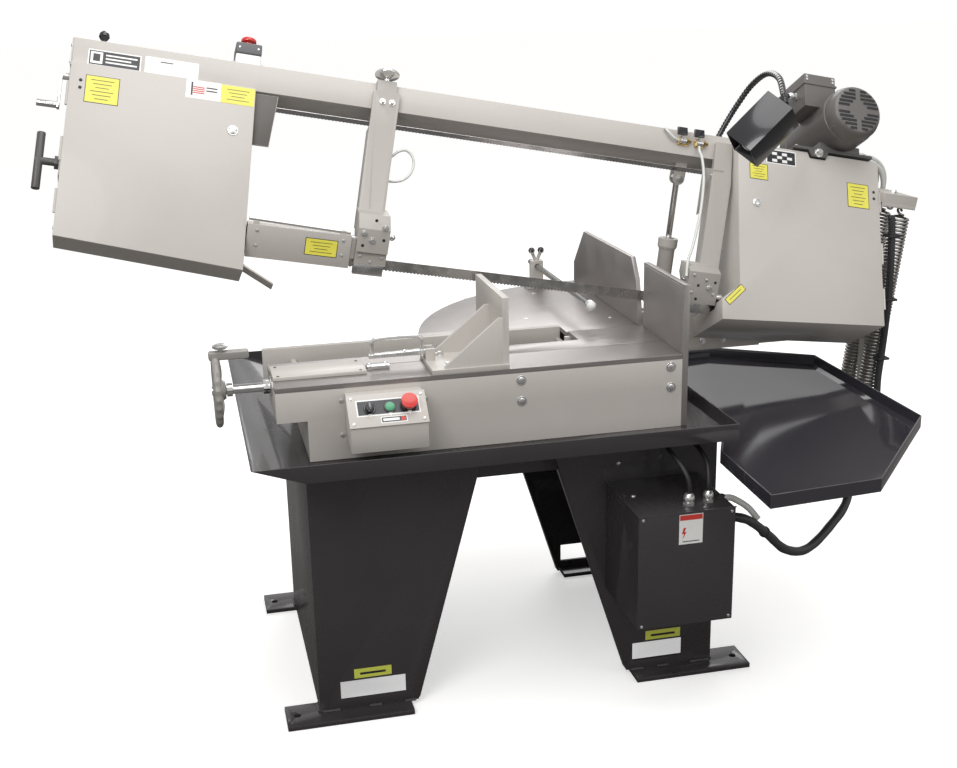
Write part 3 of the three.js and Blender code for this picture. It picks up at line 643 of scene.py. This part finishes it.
# ---- guides ----
piece("guide_arm_left_details", "guide", STRAIGHT, [
    ("zinc", each(hexbolt, -30, ((-366, 78), (-316, 96), (-344, 62)), FRONT, 5.5)
        + each(dome, -20, ((-368, 20), (-314, 20), (-341, 8)), FRONT, 4.5)),
    ("black_plastic", [rod((x, -30.4, z), (x, -29, z), 4, 16)
        for x, z in ((-366, 48), (-316, 66), (-340, 112))]),
    ("chrome", [rod((-380.2, -8, 60), (-396, -8, 60), 6, 20), rod((-302, 6, 70), (-290, 6, 70), 7, 20),
        ball((-290, 6, 70), 8)]),
    ("bright_steel", [box(-378, -304, y0, y1, -28, -1, 1) for y0, y1 in ((-8, -2.9), (2.9, 8))]),
])
piece("guide_arm_left_plate", "guide", CANTED, [
    ("zinc", each(hexbolt, -36, ((-330, 420), (-306, 420)), FRONT, 6)
        + [dome((x, 10, 479), UP, 6) for x in (-333, -307)]),
    ("paint_arm", [box(-352, -348.5, -36.8, -22.6, 130, 440, 0.5),
        prism([(-318, 130), (-312, 130), (-288, 440), (-292, 440)], -36.8, -35.9, "y", 0.3)]),
])
loop = [(-303, -12, 282), (-293, -12, 289), (-279, -12, 302), (-261, -12, 308), (-245, -12, 297),
    (-239, -12, 273), (-247, -12, 246), (-264, -12, 228), (-284, -12, 220), (-308, -12, 218)]
hose("guide_hose_left", "guide", CANTED, loop, 3.4, "clear_hose")
piece("guide_hose_fittings", "guide", CANTED, [
    ("zinc", [ring((-304, -12, 281), (-300, -12, 284), 7, 3.6),
        ring((-309, -12, 218), (-305, -12, 218), 7, 3.6)]),
])
piece("guide_knob_stud", "guide_knob", CANTED, [
    ("chrome", [rod((-320, -29, 501), (-320, -29, 503), 26, 32), dome((-320, -29, 503), UP, 8),
        lathe([(0, 0), (7, 0), (7, 5), (0, 5)], (-320, -29, 479.6), (-320, -29, 490), 6)]),
])
piece("guard_details", "guide", STRAIGHT, label(-503, -424, 8, 50, -20, "label_yellow", 4) + [
    ("zinc", each(dome, -20, grid((-620, -412), (16, 52)), FRONT, 4.5)),
    ("bright_steel", [rod((-641, -14, 78), (-396, -14, 72), 4.2, 16)]),
    ("paint_grey", [box(x, x + 14, -18, -10, 65, 76, 1) for x in (-630, -420)]),
    ("paint_arm", [box(-410, -380.4, -16, 16, 10, 60, 1.5)]),
])
piece("guide_arm_right_details", "head", STRAIGHT, [
    ("zinc", each(dome, -30, ((504, 30), (566, 30), (504, 76), (540, 66)), FRONT, 4.5)
        + [hexbolt((552, -30, 46), FRONT, 5.5)]),
    ("black_plastic", [rod((x, -30.4, z), (x, -29, z), 4, 16) for x, z in ((520, 14), (520, 50), (566, 62))]),
    ("chrome", [rod((578, -12, 22), (596, -12, 22), 7, 20), dome((596, -12, 22), RIGHT, 8),
        rod((491, -10, 60), (480, -10, 60), 5, 16)]),
    ("bright_steel", [box(493, 576, y0, y1, -28, 0, 1) for y0, y1 in ((-8, -2.9), (2.9, 8))]),
])
piece("right_gusset", "head", STRAIGHT, [
    ("paint_arm", [prism([(548, 338), (608, 338), (592, 250), (556, 210)], 150, 156, "y", 1)]),
    ("zinc", [dome((576, 150, 320), FRONT, 5)]),
])

# ---- band with teeth ----
def ease(t):
    t = min(1.0, max(0.0, t))
    return t * t * (3 - 2 * t)


def band():
    """The toothed band: upright between the guides, flat round the wheels."""
    pitch, deep, half, thick = 9.0, 3.2, 13.5, 0.5
    twist_in, twist_out = (-640, 240), (590, 150)
    upright = math.pi / 2 - CANT
    arc = math.pi * BAND_R
    line = DRIVE_X - IDLER_X
    count = int(2 * (arc + line) / pitch)
    bm = bmesh.new()
    rings = []
    for k in range(count * 2):
        s = 2 * (arc + line) * k / (count * 2)
        twist = 0
        if s < line:
            x = IDLER_X + s
            p, up = Vector((x, 0, 0)), Vector(UP)
            twist = upright * (ease((x - twist_in[0]) / twist_in[1])
                               - ease((x - twist_out[0]) / twist_out[1]))
        elif s < line + arc:
            a = (s - line) / BAND_R
            p = Vector((DRIVE_X + BAND_R * math.sin(a), 0, BAND_R - BAND_R * math.cos(a)))
            up = Vector((-math.sin(a), 0, math.cos(a)))
        elif s < 2 * line + arc:
            p, up = Vector((DRIVE_X - (s - line - arc), 0, 2 * BAND_R)), Vector(DOWN)
        else:
            a = (s - 2 * line - arc) / BAND_R
            p = Vector((IDLER_X - BAND_R * math.sin(a), 0, BAND_R + BAND_R * math.cos(a)))
            up = Vector((math.sin(a), 0, -math.cos(a)))
        front = Vector(FRONT)
        w = front * math.cos(twist) + up * math.sin(twist)
        t = up * math.cos(twist) - front * math.sin(twist)
        low = half if k % 2 == 0 else half - deep
        rings.append([bm.verts.new(p + w * i * (half if i > 0 else low) + t * j * thick)
                      for i, j in ((-1, -1), (1, -1), (1, 1), (-1, 1))])
    join_rings(bm, rings + rings[:1])
    bmesh.ops.recalc_face_normals(bm, faces=bm.faces)
    return bm


piece("toothed_band", "head", CANTED, [("bright_steel", band())], replaces=("blade",),
    angle=50)

# ---- drive end ----
piece("drive_cover_fittings", "drive_door", CANTED, latch(690, 279, 1048, DRIVE_FACE))
piece("drive_cover_warning_right", "drive_door", CANTED,
    label(966, 1032, 304, 375, DRIVE_FACE, "label_yellow", 6))
piece("drive_cover_warning_left", "drive_door", CANTED,
    label(672, 726, 346, 392, DRIVE_FACE, "label_yellow", 5))
check_plate = label(722, 812, 398, 440, DRIVE_FACE, "label_black", 0, border="label_white", rim=3)
piece("drive_cover_plate", "drive_door", CANTED, check_plate + [
    ("label_white", [box(x, x + 15, -62.9, -62.3, z, z + 8, 0) for x, z in
                     ((740, 424), (770, 424), (755, 414), (785, 414), (740, 404), (770, 404))]),
])
slant = CANTED @ Matrix.Translation((620, DRIVE_FACE, 12)) @ Matrix.Rotation(-math.radians(45), 4, "Y")
piece("drive_cover_warning_corner", "drive_door", slant, label(-34, 34, -10, 10, 0, "label_yellow", 1))
piece("drive_hinge", "head", CANTED, [
    ("paint_grey", [rod((1064 + 0.012 * z, -59.5, z), (1064.7 + 0.012 * z, -59.5, z + 60), 3.2, 16)
        for z in (20, 150, 300)]),
    ("zinc", [dome((1066, y, z), RIGHT, 5) for y in (-30, 60) for z in (60, 400)]),
])
piece("drive_back_bolts", "head", CANTED, [
    ("zinc", each(hexbolt, 170, ((815, 150), (887, 150), (815, 248)), BACK, 7)
        + each(dome, 112, grid((660, 1040), (60, 240, 420)), BACK, 6)),
    ("brass", [rod((887, 141, 262), (887, 141, 274), 8, 6)]),
    ("cast_dark", [box(802, 900, y, y + 3, 131, 266, 1) for y in (122, 132, 142, 152)]),
])
piece("belt_guard_bolts", "head", CANTED, [
    ("zinc", each(hexbolt, 212, ((852, 186), (950, 543), (901, 364)), BACK, 7)),
    ("paint_grey", [box(880, 935, 150, 176, 330, 380, 3)]),
])
fan = []
for k in (-5, -4, -3, -2, -1, 1, 2, 3, 4, 5):
    z = k * 11.0
    reach = math.sqrt(61 ** 2 - z ** 2)
    core = math.sqrt(25 ** 2 - z ** 2) if abs(z) < 25 else 0.0
    for side in (-1, 1):
        a, b = sorted((side * max(7.0, core + 4), side * reach))
        fan.append(box(MOTOR_X + a, MOTOR_X + b, -163.4, -161, MOTOR_Z + z - 3.6, MOTOR_Z + z + 3.6, 1.0))
rods = [[(MOTOR_X + 70 * math.cos(a), y, MOTOR_Z + 70 * math.sin(a)) for y in (-140, -112)]
        for a in (0.6, 2.2, 3.8, 5.3)]
piece("motor_body", "head", CANTED, [
    ("motor_grey", [lathe([(0, 0), (60, 0), (66, 2.5), (71, 9), (76, 22), (76, 46), (78, 48), (78, 250),
                           (75, 252), (75, 258), (78, 260), (78, 292), (70, 308), (0, 310)],
                          (MOTOR_X, -162, MOTOR_Z), (MOTOR_X, 200, MOTOR_Z), 64),
                    box(835, 930, -85, 25, 575, 672, 3), box(832, 933, -88, 28, 640, 646, 1.5),
                    box(888, 1012, -60, 90, 460.4, 484, 2.5), [rod(a, b, 7, 14) for a, b in rods]]),
    ("black_plastic", fan),
    ("bright_steel", [rod((MOTOR_X, 140, MOTOR_Z), (MOTOR_X, 200, MOTOR_Z), 11, 20)]),
    ("zinc", each(dome, -85, grid((843, 922), (655, 664)), FRONT, 4)
        + [hexbolt((x, y, 484), UP, 6.5) for x in (900, 1000) for y in (-45, 75)]),
    ("label_black", [box(1027.5, 1028.4, -60, 20, 525, 560, 0)]),
], replaces=("motor",))
piece("motor_plate_bolts", "head", CANTED, [
    ("zinc", [hexbolt((879, -70, 446), FRONT, 9)]
        + [hexbolt((x, y, 460), UP, 6.5) for x in (822, 1030) for y in (-52, 82)]),
])
hose("motor_cable", "head", CANTED, [(832, -40, 620), (806, -40, 618), (778, -34, 600), (756, -14, 560),
    (748, 16, 510), (744, 30, 474), (744, 34, 449)], 7, "rubber", per=10)
piece("motor_glands", "head", CANTED, [("zinc", gland((836, -40, 620), LEFT, 9)),
    ("black_plastic", [ring((744, 34, 447.4), (744, 34, 456), 14, 7.4)])])
piece("lamp_parts", "lamp", STRAIGHT, [
    ("white_plastic", [ball((541, -120, 440), 27)]),
    ("chrome", [ring((548, -120, 449), (556, -120, 460), 33, 26)]),
    ("zinc", [dome((600, -120, 534), (0.6, 0, 0.8), 8)]),
])
neck = spline([(612, 255, 398), (632, 256, 455), (652, 250, 510), (668, 220, 568), (662, 130, 604),
    (640, 10, 598), (618, -80, 562), (611, -118, 536)], 40)
piece("lamp_neck", "head", STRAIGHT, [
    ("black_gloss", [tube(neck, 8.4, 14, lambda f: 1.0 if int(f * 93) % 2 else 0.86)]),
    ("zinc", [ring((611, 255, 399), (613.5, 255.5, 410), 18, 8.6)]
        + [dome((x, 255, 400), (0.1, 0, 1), 3.5) for x in (599, 625)]),
], replaces=("gooseneck",))

# ---- balance springs and hoses at the right end ----
def coil(y):
    """A close-wound extension spring from its foot hook up to its top hook, which is further out."""
    low, high = Vector((1201, y, 592)), Vector((1266, y, 1086))
    lean = (high - low).normalized()
    wire = helix(low, high, 25.6, 52, 14)
    top = spline([wire[-1], high + lean * 5 + Vector((12, 0, 0)), high + lean * 10,
        Vector((1266, y + 9, 1106)), Vector((1268, y, 1113)), Vector((1268, y - 9, 1105))], 6)
    foot = spline([Vector((1200, y - 9, 582)), Vector((1200, y, 575)), Vector((1200, y + 9, 582)),
        low - lean * 4 + Vector((8, 0, 0)), wire[0]], 6)
    return tube(foot[:-1] + wire + top[1:], 3.4, 8)


for name, y in (("front", 430), ("rear", 530)):
    spring = piece("coil_" + name, "swivel", WORLD, [("spring_steel", coil(y))],
        replaces=("spring_" + name,), angle=60)
    bpy.context.view_layer.update()
    spring.parent = None
    spring.matrix_world = Matrix.Identity(4)
    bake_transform(spring)
    piece("spring_anchor_" + name, "swivel", WORLD, [
        ("zinc", [ring((1200, y - 4, 579), (1200, y + 4, 579), 10, 5),
            rod((1200, y, 572.2), (1200, y, 578), 5, 16)] + hexbolt((1200, y, 560), DOWN, 8))])
for y in (130, 230):
    piece("spring_hook_%d" % y, "head", STRAIGHT, [
        ("zinc", [ring((1112, y - 4, 309), (1112, y + 4, 309), 10, 5),
            rod((1112, y, 318.2), (1112, y, 313), 5, 16)] + hexbolt((1112, y, 345), UP, 8))])
piece("spring_bracket_trim", "head", STRAIGHT, [
    ("paint_grey", [box(1070, 1172, 100, 106, 309, 318, 1), box(1070, 1172, 254, 260, 309, 318, 1),
        box(1163, 1169, 110, 250, 309, 318, 1)]),
])
for i, (x, z, back) in enumerate(((0, 0, 0), (9, 10, 16), (-8, 12, 30))):
    hose("arch_hose_%d" % i, "head", STRAIGHT, [
        (1018 + x, 262 + back, 376 + z), (1046 + x, 262 + back, 402 + z), (1092 + x, 264 + back, 414 + z),
        (1134 + x, 268 + back, 398 + z), (1158 + x, 272 + back, 364 + z), (1166 + x, 276 + back, 322)],
        7.5, "clear_hose", per=10)
piece("arch_hose_fittings", "head", STRAIGHT, [
    ("chrome", [[lathe([(0, 0), (10, 0), (10, 9), (8.5, 10), (8.5, 20), (0, 20)], (1166 + x, 276 + b, 320),
        (1166 + x, 276 + b, 300), 6)] for x, b in ((0, 0), (9, 16), (-8, 30))]),
    ("paint_grey", [box(1142, 1190, 262, 318, 294, 301, 1)]),
])
for i, (x, y) in enumerate(((1212, 385), (1218, 401))):
    hose("drop_hose_%d" % i, "swivel", WORLD, [
        (x + 6, y, 1098), (x + 10, y, 1060), (x + 14, y, 980), (x + 15, y, 900), (x + 12, y, 800),
        (x + 5, y, 700), (x, y, 640), (x, y, 600), (x, y, 573)], 8.5, "hose_black", lay="hanging", per=10)
piece("drop_hose_ties", "swivel", WORLD, [
    ("rubber", [box(1196 + x, 1232 + x, 374, 412, z, z + 7, 3)
        for x, z in ((13, 1040), (16, 860), (5, 690))]),
    ("zinc", [ring((x, y, 572.2), (x, y, 580), 12, 8.6) for x, y in ((1212, 385), (1218, 401))]),
])

# ---- swivelling base ----
piece("swivel_fittings", "swivel", WORLD, [
    ("zinc", [hexbolt((826, 444, 880), FRONT, 14), hexbolt((826, 523, 880), BACK, 14),
        hexbolt((596, 556, 800), BACK, 9), [hexbolt((x, 450, 770), FRONT, 6.5) for x in (640, 700, 760)]]),
    ("cast_dark", [ring((470, 300, 846.2), (470, 300, 852), 40, 26)]),
    ("brass", [rod((470, 245, 800), (470, 236, 800), 4, 12),
        rod((826, 462.4, 911), (826, 462.4, 918), 4, 12)]),
    ("paint_grey", [prism([(872, 790), (960, 790), (872, 840)], 496, 504, "y", 1),
        prism([(1217, 572), (1230, 572), (1217, 640)], 476, 484, "y", 1)]),
])
piece("cylinder_fittings", "cylinder", WORLD @ Matrix.Translation((596, 541, 800))
    @ Matrix.Rotation(math.atan2(0.1248, 0.9922), 4, "Y"), [
    ("paint_grey", [ring((0, 0, 226), (0, 0, 250), 27, 9), ring((0, 0, 20), (0, 0, 34), 24.5, 10)]),
    ("zinc", gland((-22, 0, 46), LEFT, 6) + [ring((0, 0, 250), (0, 0, 253), 15, 8.6)]),
])
piece("rod_eye_pin", "head", STRAIGHT, [("zinc",
    [dome((516, 222, 294), FRONT, 8, 0.4), dome((516, 260, 294), BACK, 8, 0.4)])])

# ---- bed, table, vise ----
piece("bed_bolts", "base", WORLD, [
    ("zinc", [[dome((x, 0, z), FRONT, 8.5, 0.5), ring((x, 0, z), (x, -1.5, z), 12, 6)]
        for x, z in ((58, 843), (59, 792), (431, 844), (432, 793))]
        + each(dome, 0, ((-368, 832), (-368, 750), (-172, 820), (-172, 768)), FRONT, 5.5)
        + [hexbolt((x, 385, 820), BACK, 7) for x in (-400, 0, 220)]),
])
piece("screw_cover_screws", "base", WORLD, [
    ("black_plastic", [dome((x, y, 881), UP, 3.6, 0.35) for x in (-502, -310) for y in (70, 150)]),
    ("zinc", [ring((-516.5, SCREW_Y, SCREW_Z), (-518, SCREW_Y, SCREW_Z), 24, 11.4)]),
    ("chrome", [box(-292, -238, 88, 116, 873.4, 882, 1.5),
        [dome((x, y, 882), UP, 3.5) for x in (-284, -246) for y in (94, 110)]]),
])
piece("table_details", "base", WORLD, [
    ("zinc", [dome((x, y, 866), UP, 6, 0.2) for x, y in ((200, 480), (420, 420), (0, 420), (300, 760))]),
    ("plate_steel", [box(472.5, 480, 320, 884, 866.6, 900, 1.5)]),
])
piece("jaw_details", "vise", WORLD, [
    ("zinc", [hexbolt((-110, y, 885), UP, 7) for y in (30, 130)]
        + [hexbolt((-128, 102 + s * 24, 902), (0, s, 0), 4.5, False) for s in (-1, 1)]),
    ("paint_grey", [box(16.3, 29, 278.2, 279, 880, 1040, 0)]),
    ("black_plastic", [dome((-60, 50, 885), UP, 5, 0.2)]),
    ("bright_steel", [box(31.1, 32.4, 12, 270, 885, 1035, 0.4)]),
])
piece("lever_pin", "vise_lever", WORLD, [
    ("zinc", [rod((-141, 91.2, 904), (-141, 112.8, 904), 5, 16)]),
    ("chrome", dome((-200, 102, 910), UP, 4)),
])


def scallop():
    """The handwheel's rim, with finger scallops."""
    bm = bmesh.new()
    around, tubes, reach, scallops = 96, 12, 75.5, 24
    rings = []
    for a in (2 * math.pi * i / around for i in range(around)):
        swell = 9.0 + 1.8 * math.cos(scallops * a)
        section = []
        for b in (2 * math.pi * j / tubes for j in range(tubes)):
            r = reach + swell * math.cos(b)
            section.append(bm.verts.new((-640 + 9 * math.sin(b), SCREW_Y + r * math.cos(a),
                                         SCREW_Z + r * math.sin(a))))
        rings.append(section)
    join_rings(bm, rings + rings[:1])
    bmesh.ops.recalc_face_normals(bm, faces=bm.faces)
    return bm


def spoke(a):
    """One of the handwheel's dished spokes, at angle a."""
    steps = [i / 8 for i in range(9)]
    path = [(-638 + 6 * math.sin(math.pi * f), SCREW_Y + math.sin(a) * (16 + 56 * f),
             SCREW_Z + math.cos(a) * (16 + 56 * f)) for f in steps]
    return tube(path, 7.5, 12, lambda f: 1.15 - 0.35 * math.sin(math.pi * f))


piece("wheel_rim", "vise_screw", WORLD, [
    ("wheel_grey", [scallop(), lathe([(11.2, 0), (20, 0), (25, 4), (25, 22), (20, 30), (11.2, 30), (11.2, 0)],
                                     (-650, SCREW_Y, SCREW_Z), (0, SCREW_Y, SCREW_Z), 32),
                    [spoke(a) for a in (0, 2.094, 4.189)], box(-654, -562, 98, 122, 922, 942, 6, 3)]),
    ("zinc", [rod((-626, SCREW_Y, 936), (-626, SCREW_Y, 950), 5, 16),
              lathe([(0, 0), (14, 0), (18, 3), (18, 7), (12, 10), (0, 10)],
                    (-626, SCREW_Y, 948), (-626, SCREW_Y, 970), 24)]),
], replaces=("handwheel",))
screw_end = (-500, SCREW_Y, SCREW_Z)
piece("screw_collars", "vise_screw", WORLD, [
    ("chrome", [lathe([(0, 0), (16, 0), (16, 13), (0, 13)], (-618, SCREW_Y, SCREW_Z), screw_end, 24),
                lathe([(0, 0), (17, 0), (17, 15), (0, 15)], (-534, SCREW_Y, SCREW_Z), screw_end, 6)]),
])
piece("stop_rod_end", "length_stop", WORLD, [("white_plastic", [ball((330, 312, 930), 13)])])
piece("stop_handles", "base", WORLD, [
    ("black_gloss", [ball((330 + s * 14, 840, 976), 9.5) for s in (-1, 1)]),
    ("zinc", [dome((330 + s * 24, 824, 876), UP, 6) for s in (-1, 1)]),
])

# ---- control station ----
down = Vector((0, -55, -57)).normalized()
out_of_lid = Vector((0, -57, 55)).normalized()
lid_axes = Matrix((Vector(RIGHT), down, out_of_lid)).transposed().to_4x4()
LID = WORLD @ Matrix.Translation((-360, -35, 850)) @ lid_axes
piece("station_lid", "base", LID, [
    ("paint_grey", [box(-2, 179, -2, 81, 0.2, 3.4, 1.2)]),
    ("zinc", [dome((x, y, 3.4), UP, 3.8) for x in (8, 169) for y in (8, 71)]),
    ("label_white", [box(18, 163, 13, 54, 3.4, 3.8, 0), box(70, 130, 58, 74, 3.4, 3.7, 0)]
        + [prism([(x - 6, 46), (x + 6, 46), (x, 58)], 3.8, 4.2, "z", 0) for x in (48, 94, 138)]),
    ("label_black", [box(21, 160, 16, 51, 3.7, 4.0, 0), box(72, 128, 60, 72, 3.6, 3.9, 0)]),
    ("label_red", [box(116, 126, 61, 71, 3.8, 4.1, 0)]),
    ("label_white", [box(75, 112, 63, 69, 3.8, 4.1, 0)]),
])
piece("button_collars", "base", LID, [
    ("black_gloss", [ring((x, y, 3.9), (x, y, 7), 14, 10.6) for x, y in ((48, 35.6), (94, 35.6))]
        + [ring((138, 31.7, 3.9), (138, 31.7, 8), 17, 10.6)]),
])
piece("selector_pointer", "selector", LID, [("white_plastic", [box(47, 49.4, 26, 36, 15, 16, 0.3)]),
    ("black_gloss", [box(43.5, 52.5, 24, 48, 12, 16, 2)])])

# ---- stand ----
def weld_bead(a, b, r=3.6):
    a, b = Vector(a), Vector(b)
    n = max(4, int((b - a).length / 5))
    path = [a.lerp(b, i / n) + Vector((0, 0, random.uniform(-0.5, 0.5))) for i in range(n + 1)]
    return tube(path, r, 8, lambda f: 0.85 + 0.25 * random.random())


welds = []
for y in (50, 706):
    out = -1 if y == 50 else 1
    welds += [weld_bead((a, y + out * 1.2, 13.5), (b, y + out * 1.2, 13.5)) for a, b in
              ((-446, -404), (-330, -300), (-240, -212), (356, 392), (430, 462), (520, 572))]
welds += [weld_bead((x, a, 13.5), (x, a + 44, 13.5)) for x in (-455.4, 580.4) for a in (52, 656)]
piece("weld_beads", "base", WORLD, [("weld", welds)])
piece("leg_flanges", "base", WORLD, [
    ("paint_dark", [prism([(foot, 14), (foot + 6, 14), (head + 6, 686), (head, 686)], y0, y1, "y", 1)
        for foot, head in ((-206, -19), (345, 133)) for y0, y1 in ((56.5, 80), (676, 699.5))]),
])
for name, x0, x1, z in (("left", -366, -270, 92), ("right", 396, 494, 91)):
    piece("lift_label_" + name, "base", WORLD, label(x0, x1, z, z + 28, 50, "label_lime", 0, rim=1.2)
        + [("label_black", [box(x0 + 16, x1 - 16, 49.3, 49.6, z + 10, z + 16, 0)])])
piece("electrical_fittings", "base", WORLD, [
    ("zinc", each(dome, -192, ((296, 537), (517, 537), (517, 266), (296, 264)), FRONT, 4)
        + [gland((428, -142, 545), UP, 12), gland((479, -137, 545), UP, 11),
           dome((318, -60, 545), UP, 6), dome((318, 50, 590), FRONT, 6)]),
    ("paint_dark", [box(284, 528, -193.5, -188.2, 545.4, 547.5, 0.8),
        box(284, 290, -188, 48, 545.4, 547, 0.6)]),
])
bolt_mark = [(396, 508), (402, 508), (398, 497), (403, 497), (394, 480), (397, 493), (392, 493)]
piece("electrical_label", "base", WORLD, blank_plate(385, 444, 466, 541, -192, head="label_red") + [
    ("label_red", [prism(bolt_mark, -192.9, -192.5, "y", 0)]),
    ("label_black", [box(394, 436, -192.9, -192.5, 472, 474, 0)]),
])
hose("gland_cable_left", "base", WORLD, [(428, -142, 572), (428, -142, 592), (424, -134, 614),
    (414, -112, 638), (404, -78, 656), (400, -44, 668), (398, -14, 674), (397, 14, 676)], 6, "rubber", per=10)
hose("gland_cable_right", "base", WORLD, [(479, -137, 572), (479, -137, 590), (482, -126, 612),
    (486, -102, 634), (484, -68, 650), (476, -34, 662), (464, -6, 668), (456, 20, 670)], 6, "rubber", per=10)
piece("pan_entries", "base", WORLD, [
    ("zinc", [ring((397, 12, 676), (397, 20, 676), 12, 6.4), ring((456, 18, 670), (456, 26, 670), 12, 6.4)]),
    ("paint_dark", [box(380, 474, 20, 26, 655, 688, 1)]),
])
piece("conduit_fittings", "base", WORLD, [
    ("chrome", gland((526, -120, 496), (1, 0, -0.1), 13) + gland((526, -70, 520), RIGHT, 10)),
])
hose("power_sleeve", "base", WORLD, [
    (536, -120, 494), (590, -126, 478), (645, -118, 432), (705, -98, 376), (782, -60, 350), (875, 0, 374),
    (967, 80, 415), (1012, 190, 480), (985, 300, 560), (900, 380, 600), (760, 410, 608), (650, 410, 602),
    (584, 410, 600)], 11.4, "hose_black", replaces=("power_bundle",), lay="hanging", per=10,
    radius=lambda f: 1.0 + 0.03 * math.sin(f * 140), slot="hose_black")
hose("conduit_branch", "base", WORLD, [(550, -70, 520), (572, -71, 516), (606, -84, 494), (628, -100, 466)],
    8, "clear_hose", per=10)
piece("bundle_ties", "base", WORLD, [
    ("rubber", [ring((634, -119, 442), (640, -117, 436), 14, 10)] + gland((579.4, 410, 600), RIGHT, 12)),
])
hose("coolant_line", "head", CANTED, [
    (540, -31, 430), (540, -33, 415), (542, -44, 388), (543, -48, 325), (530, -50, 230), (506, -54, 137),
    (488, -60, 90), (482, -61, 45)], 4, "clear_hose", replaces=("coolant_hose",), lay="hanging", per=10,
    slot="hose_braid")


# ---- stage ----
def white_floor():
    """Backdrop paper: white to the camera with a soft contact shadow, darker to everything that it lights."""
    m = finish("floor", (0.86, 0.855, 0.845), 0.7, vary=0.015, patch=0.7, grain=0.02, speck=0.005)
    tree = m.node_tree
    seen = new_node(tree, "LightPath")
    dim = new_node(tree, "BsdfDiffuse", Color=(0.16, 0.155, 0.15, 1))
    glow = new_node(tree, "Emission", Color=(1, 1, 1, 1), Strength=0.46)
    lit = new_node(tree, "AddShader")
    pick = new_node(tree, "MixShader")
    link(tree.nodes["Principled BSDF"], "BSDF", lit, 0)
    link(glow, "Emission", lit, 1)
    link(seen, "Is Camera Ray", pick, "Fac")
    link(dim, "BSDF", pick, 1)
    link(lit, "Shader", pick, 2)
    link(pick, "Shader", tree.nodes["Material Output"], "Surface")
    return m


def stage():
    scene = bpy.context.scene
    scene.view_settings.view_transform = "Standard"
    world = bpy.data.worlds.new("studio")
    scene.world = world
    world.use_nodes = True
    tree = world.node_tree
    sky = put(tree.nodes["Background"], Color=(1.0, 0.995, 0.985, 1))
    seen = new_node(tree, "LightPath")
    level = new_node(tree, "MapRange", To_Min=0.62, To_Max=1.1)
    link(seen, "Is Camera Ray", level, "Value")
    link(level, "Result", sky, "Strength")
    bm = bmesh.new()
    bmesh.ops.create_grid(bm, x_segments=8, y_segments=8, size=40)
    mesh = bpy.data.meshes.new("floor")
    bm.to_mesh(mesh)
    bm.free()
    floor = bpy.data.objects.new("floor", mesh)
    floor.location.z = -0.0006
    mesh.materials.append(white_floor())
    scene.collection.objects.link(floor)
    for name, at, aim, size, power in (
            ("key", (-2.6, -3.2, 4.2), (0, 0, 0.9), 2.6, 95),
            ("fill", (3.4, -3.4, 2.6), (0.2, 0, 0.9), 3.0, 30),
            ("back", (1.0, 4.0, 3.6), (0, 0, 1.0), 3.0, 60),
            ("top", (0.2, -0.6, 4.6), (0, 0, 0), 3.4, 75)):
        light = bpy.data.lights.new(name, "AREA")
        light.shape = "DISK"
        light.size = size
        light.energy = power
        obj = bpy.data.objects.new(name, light)
        turn = (Vector(aim) - Vector(at)).to_track_quat("-Z", "Y").to_matrix().to_4x4()
        obj.matrix_world = Matrix.Translation(at) @ turn
        scene.collection.objects.link(obj)


stage()
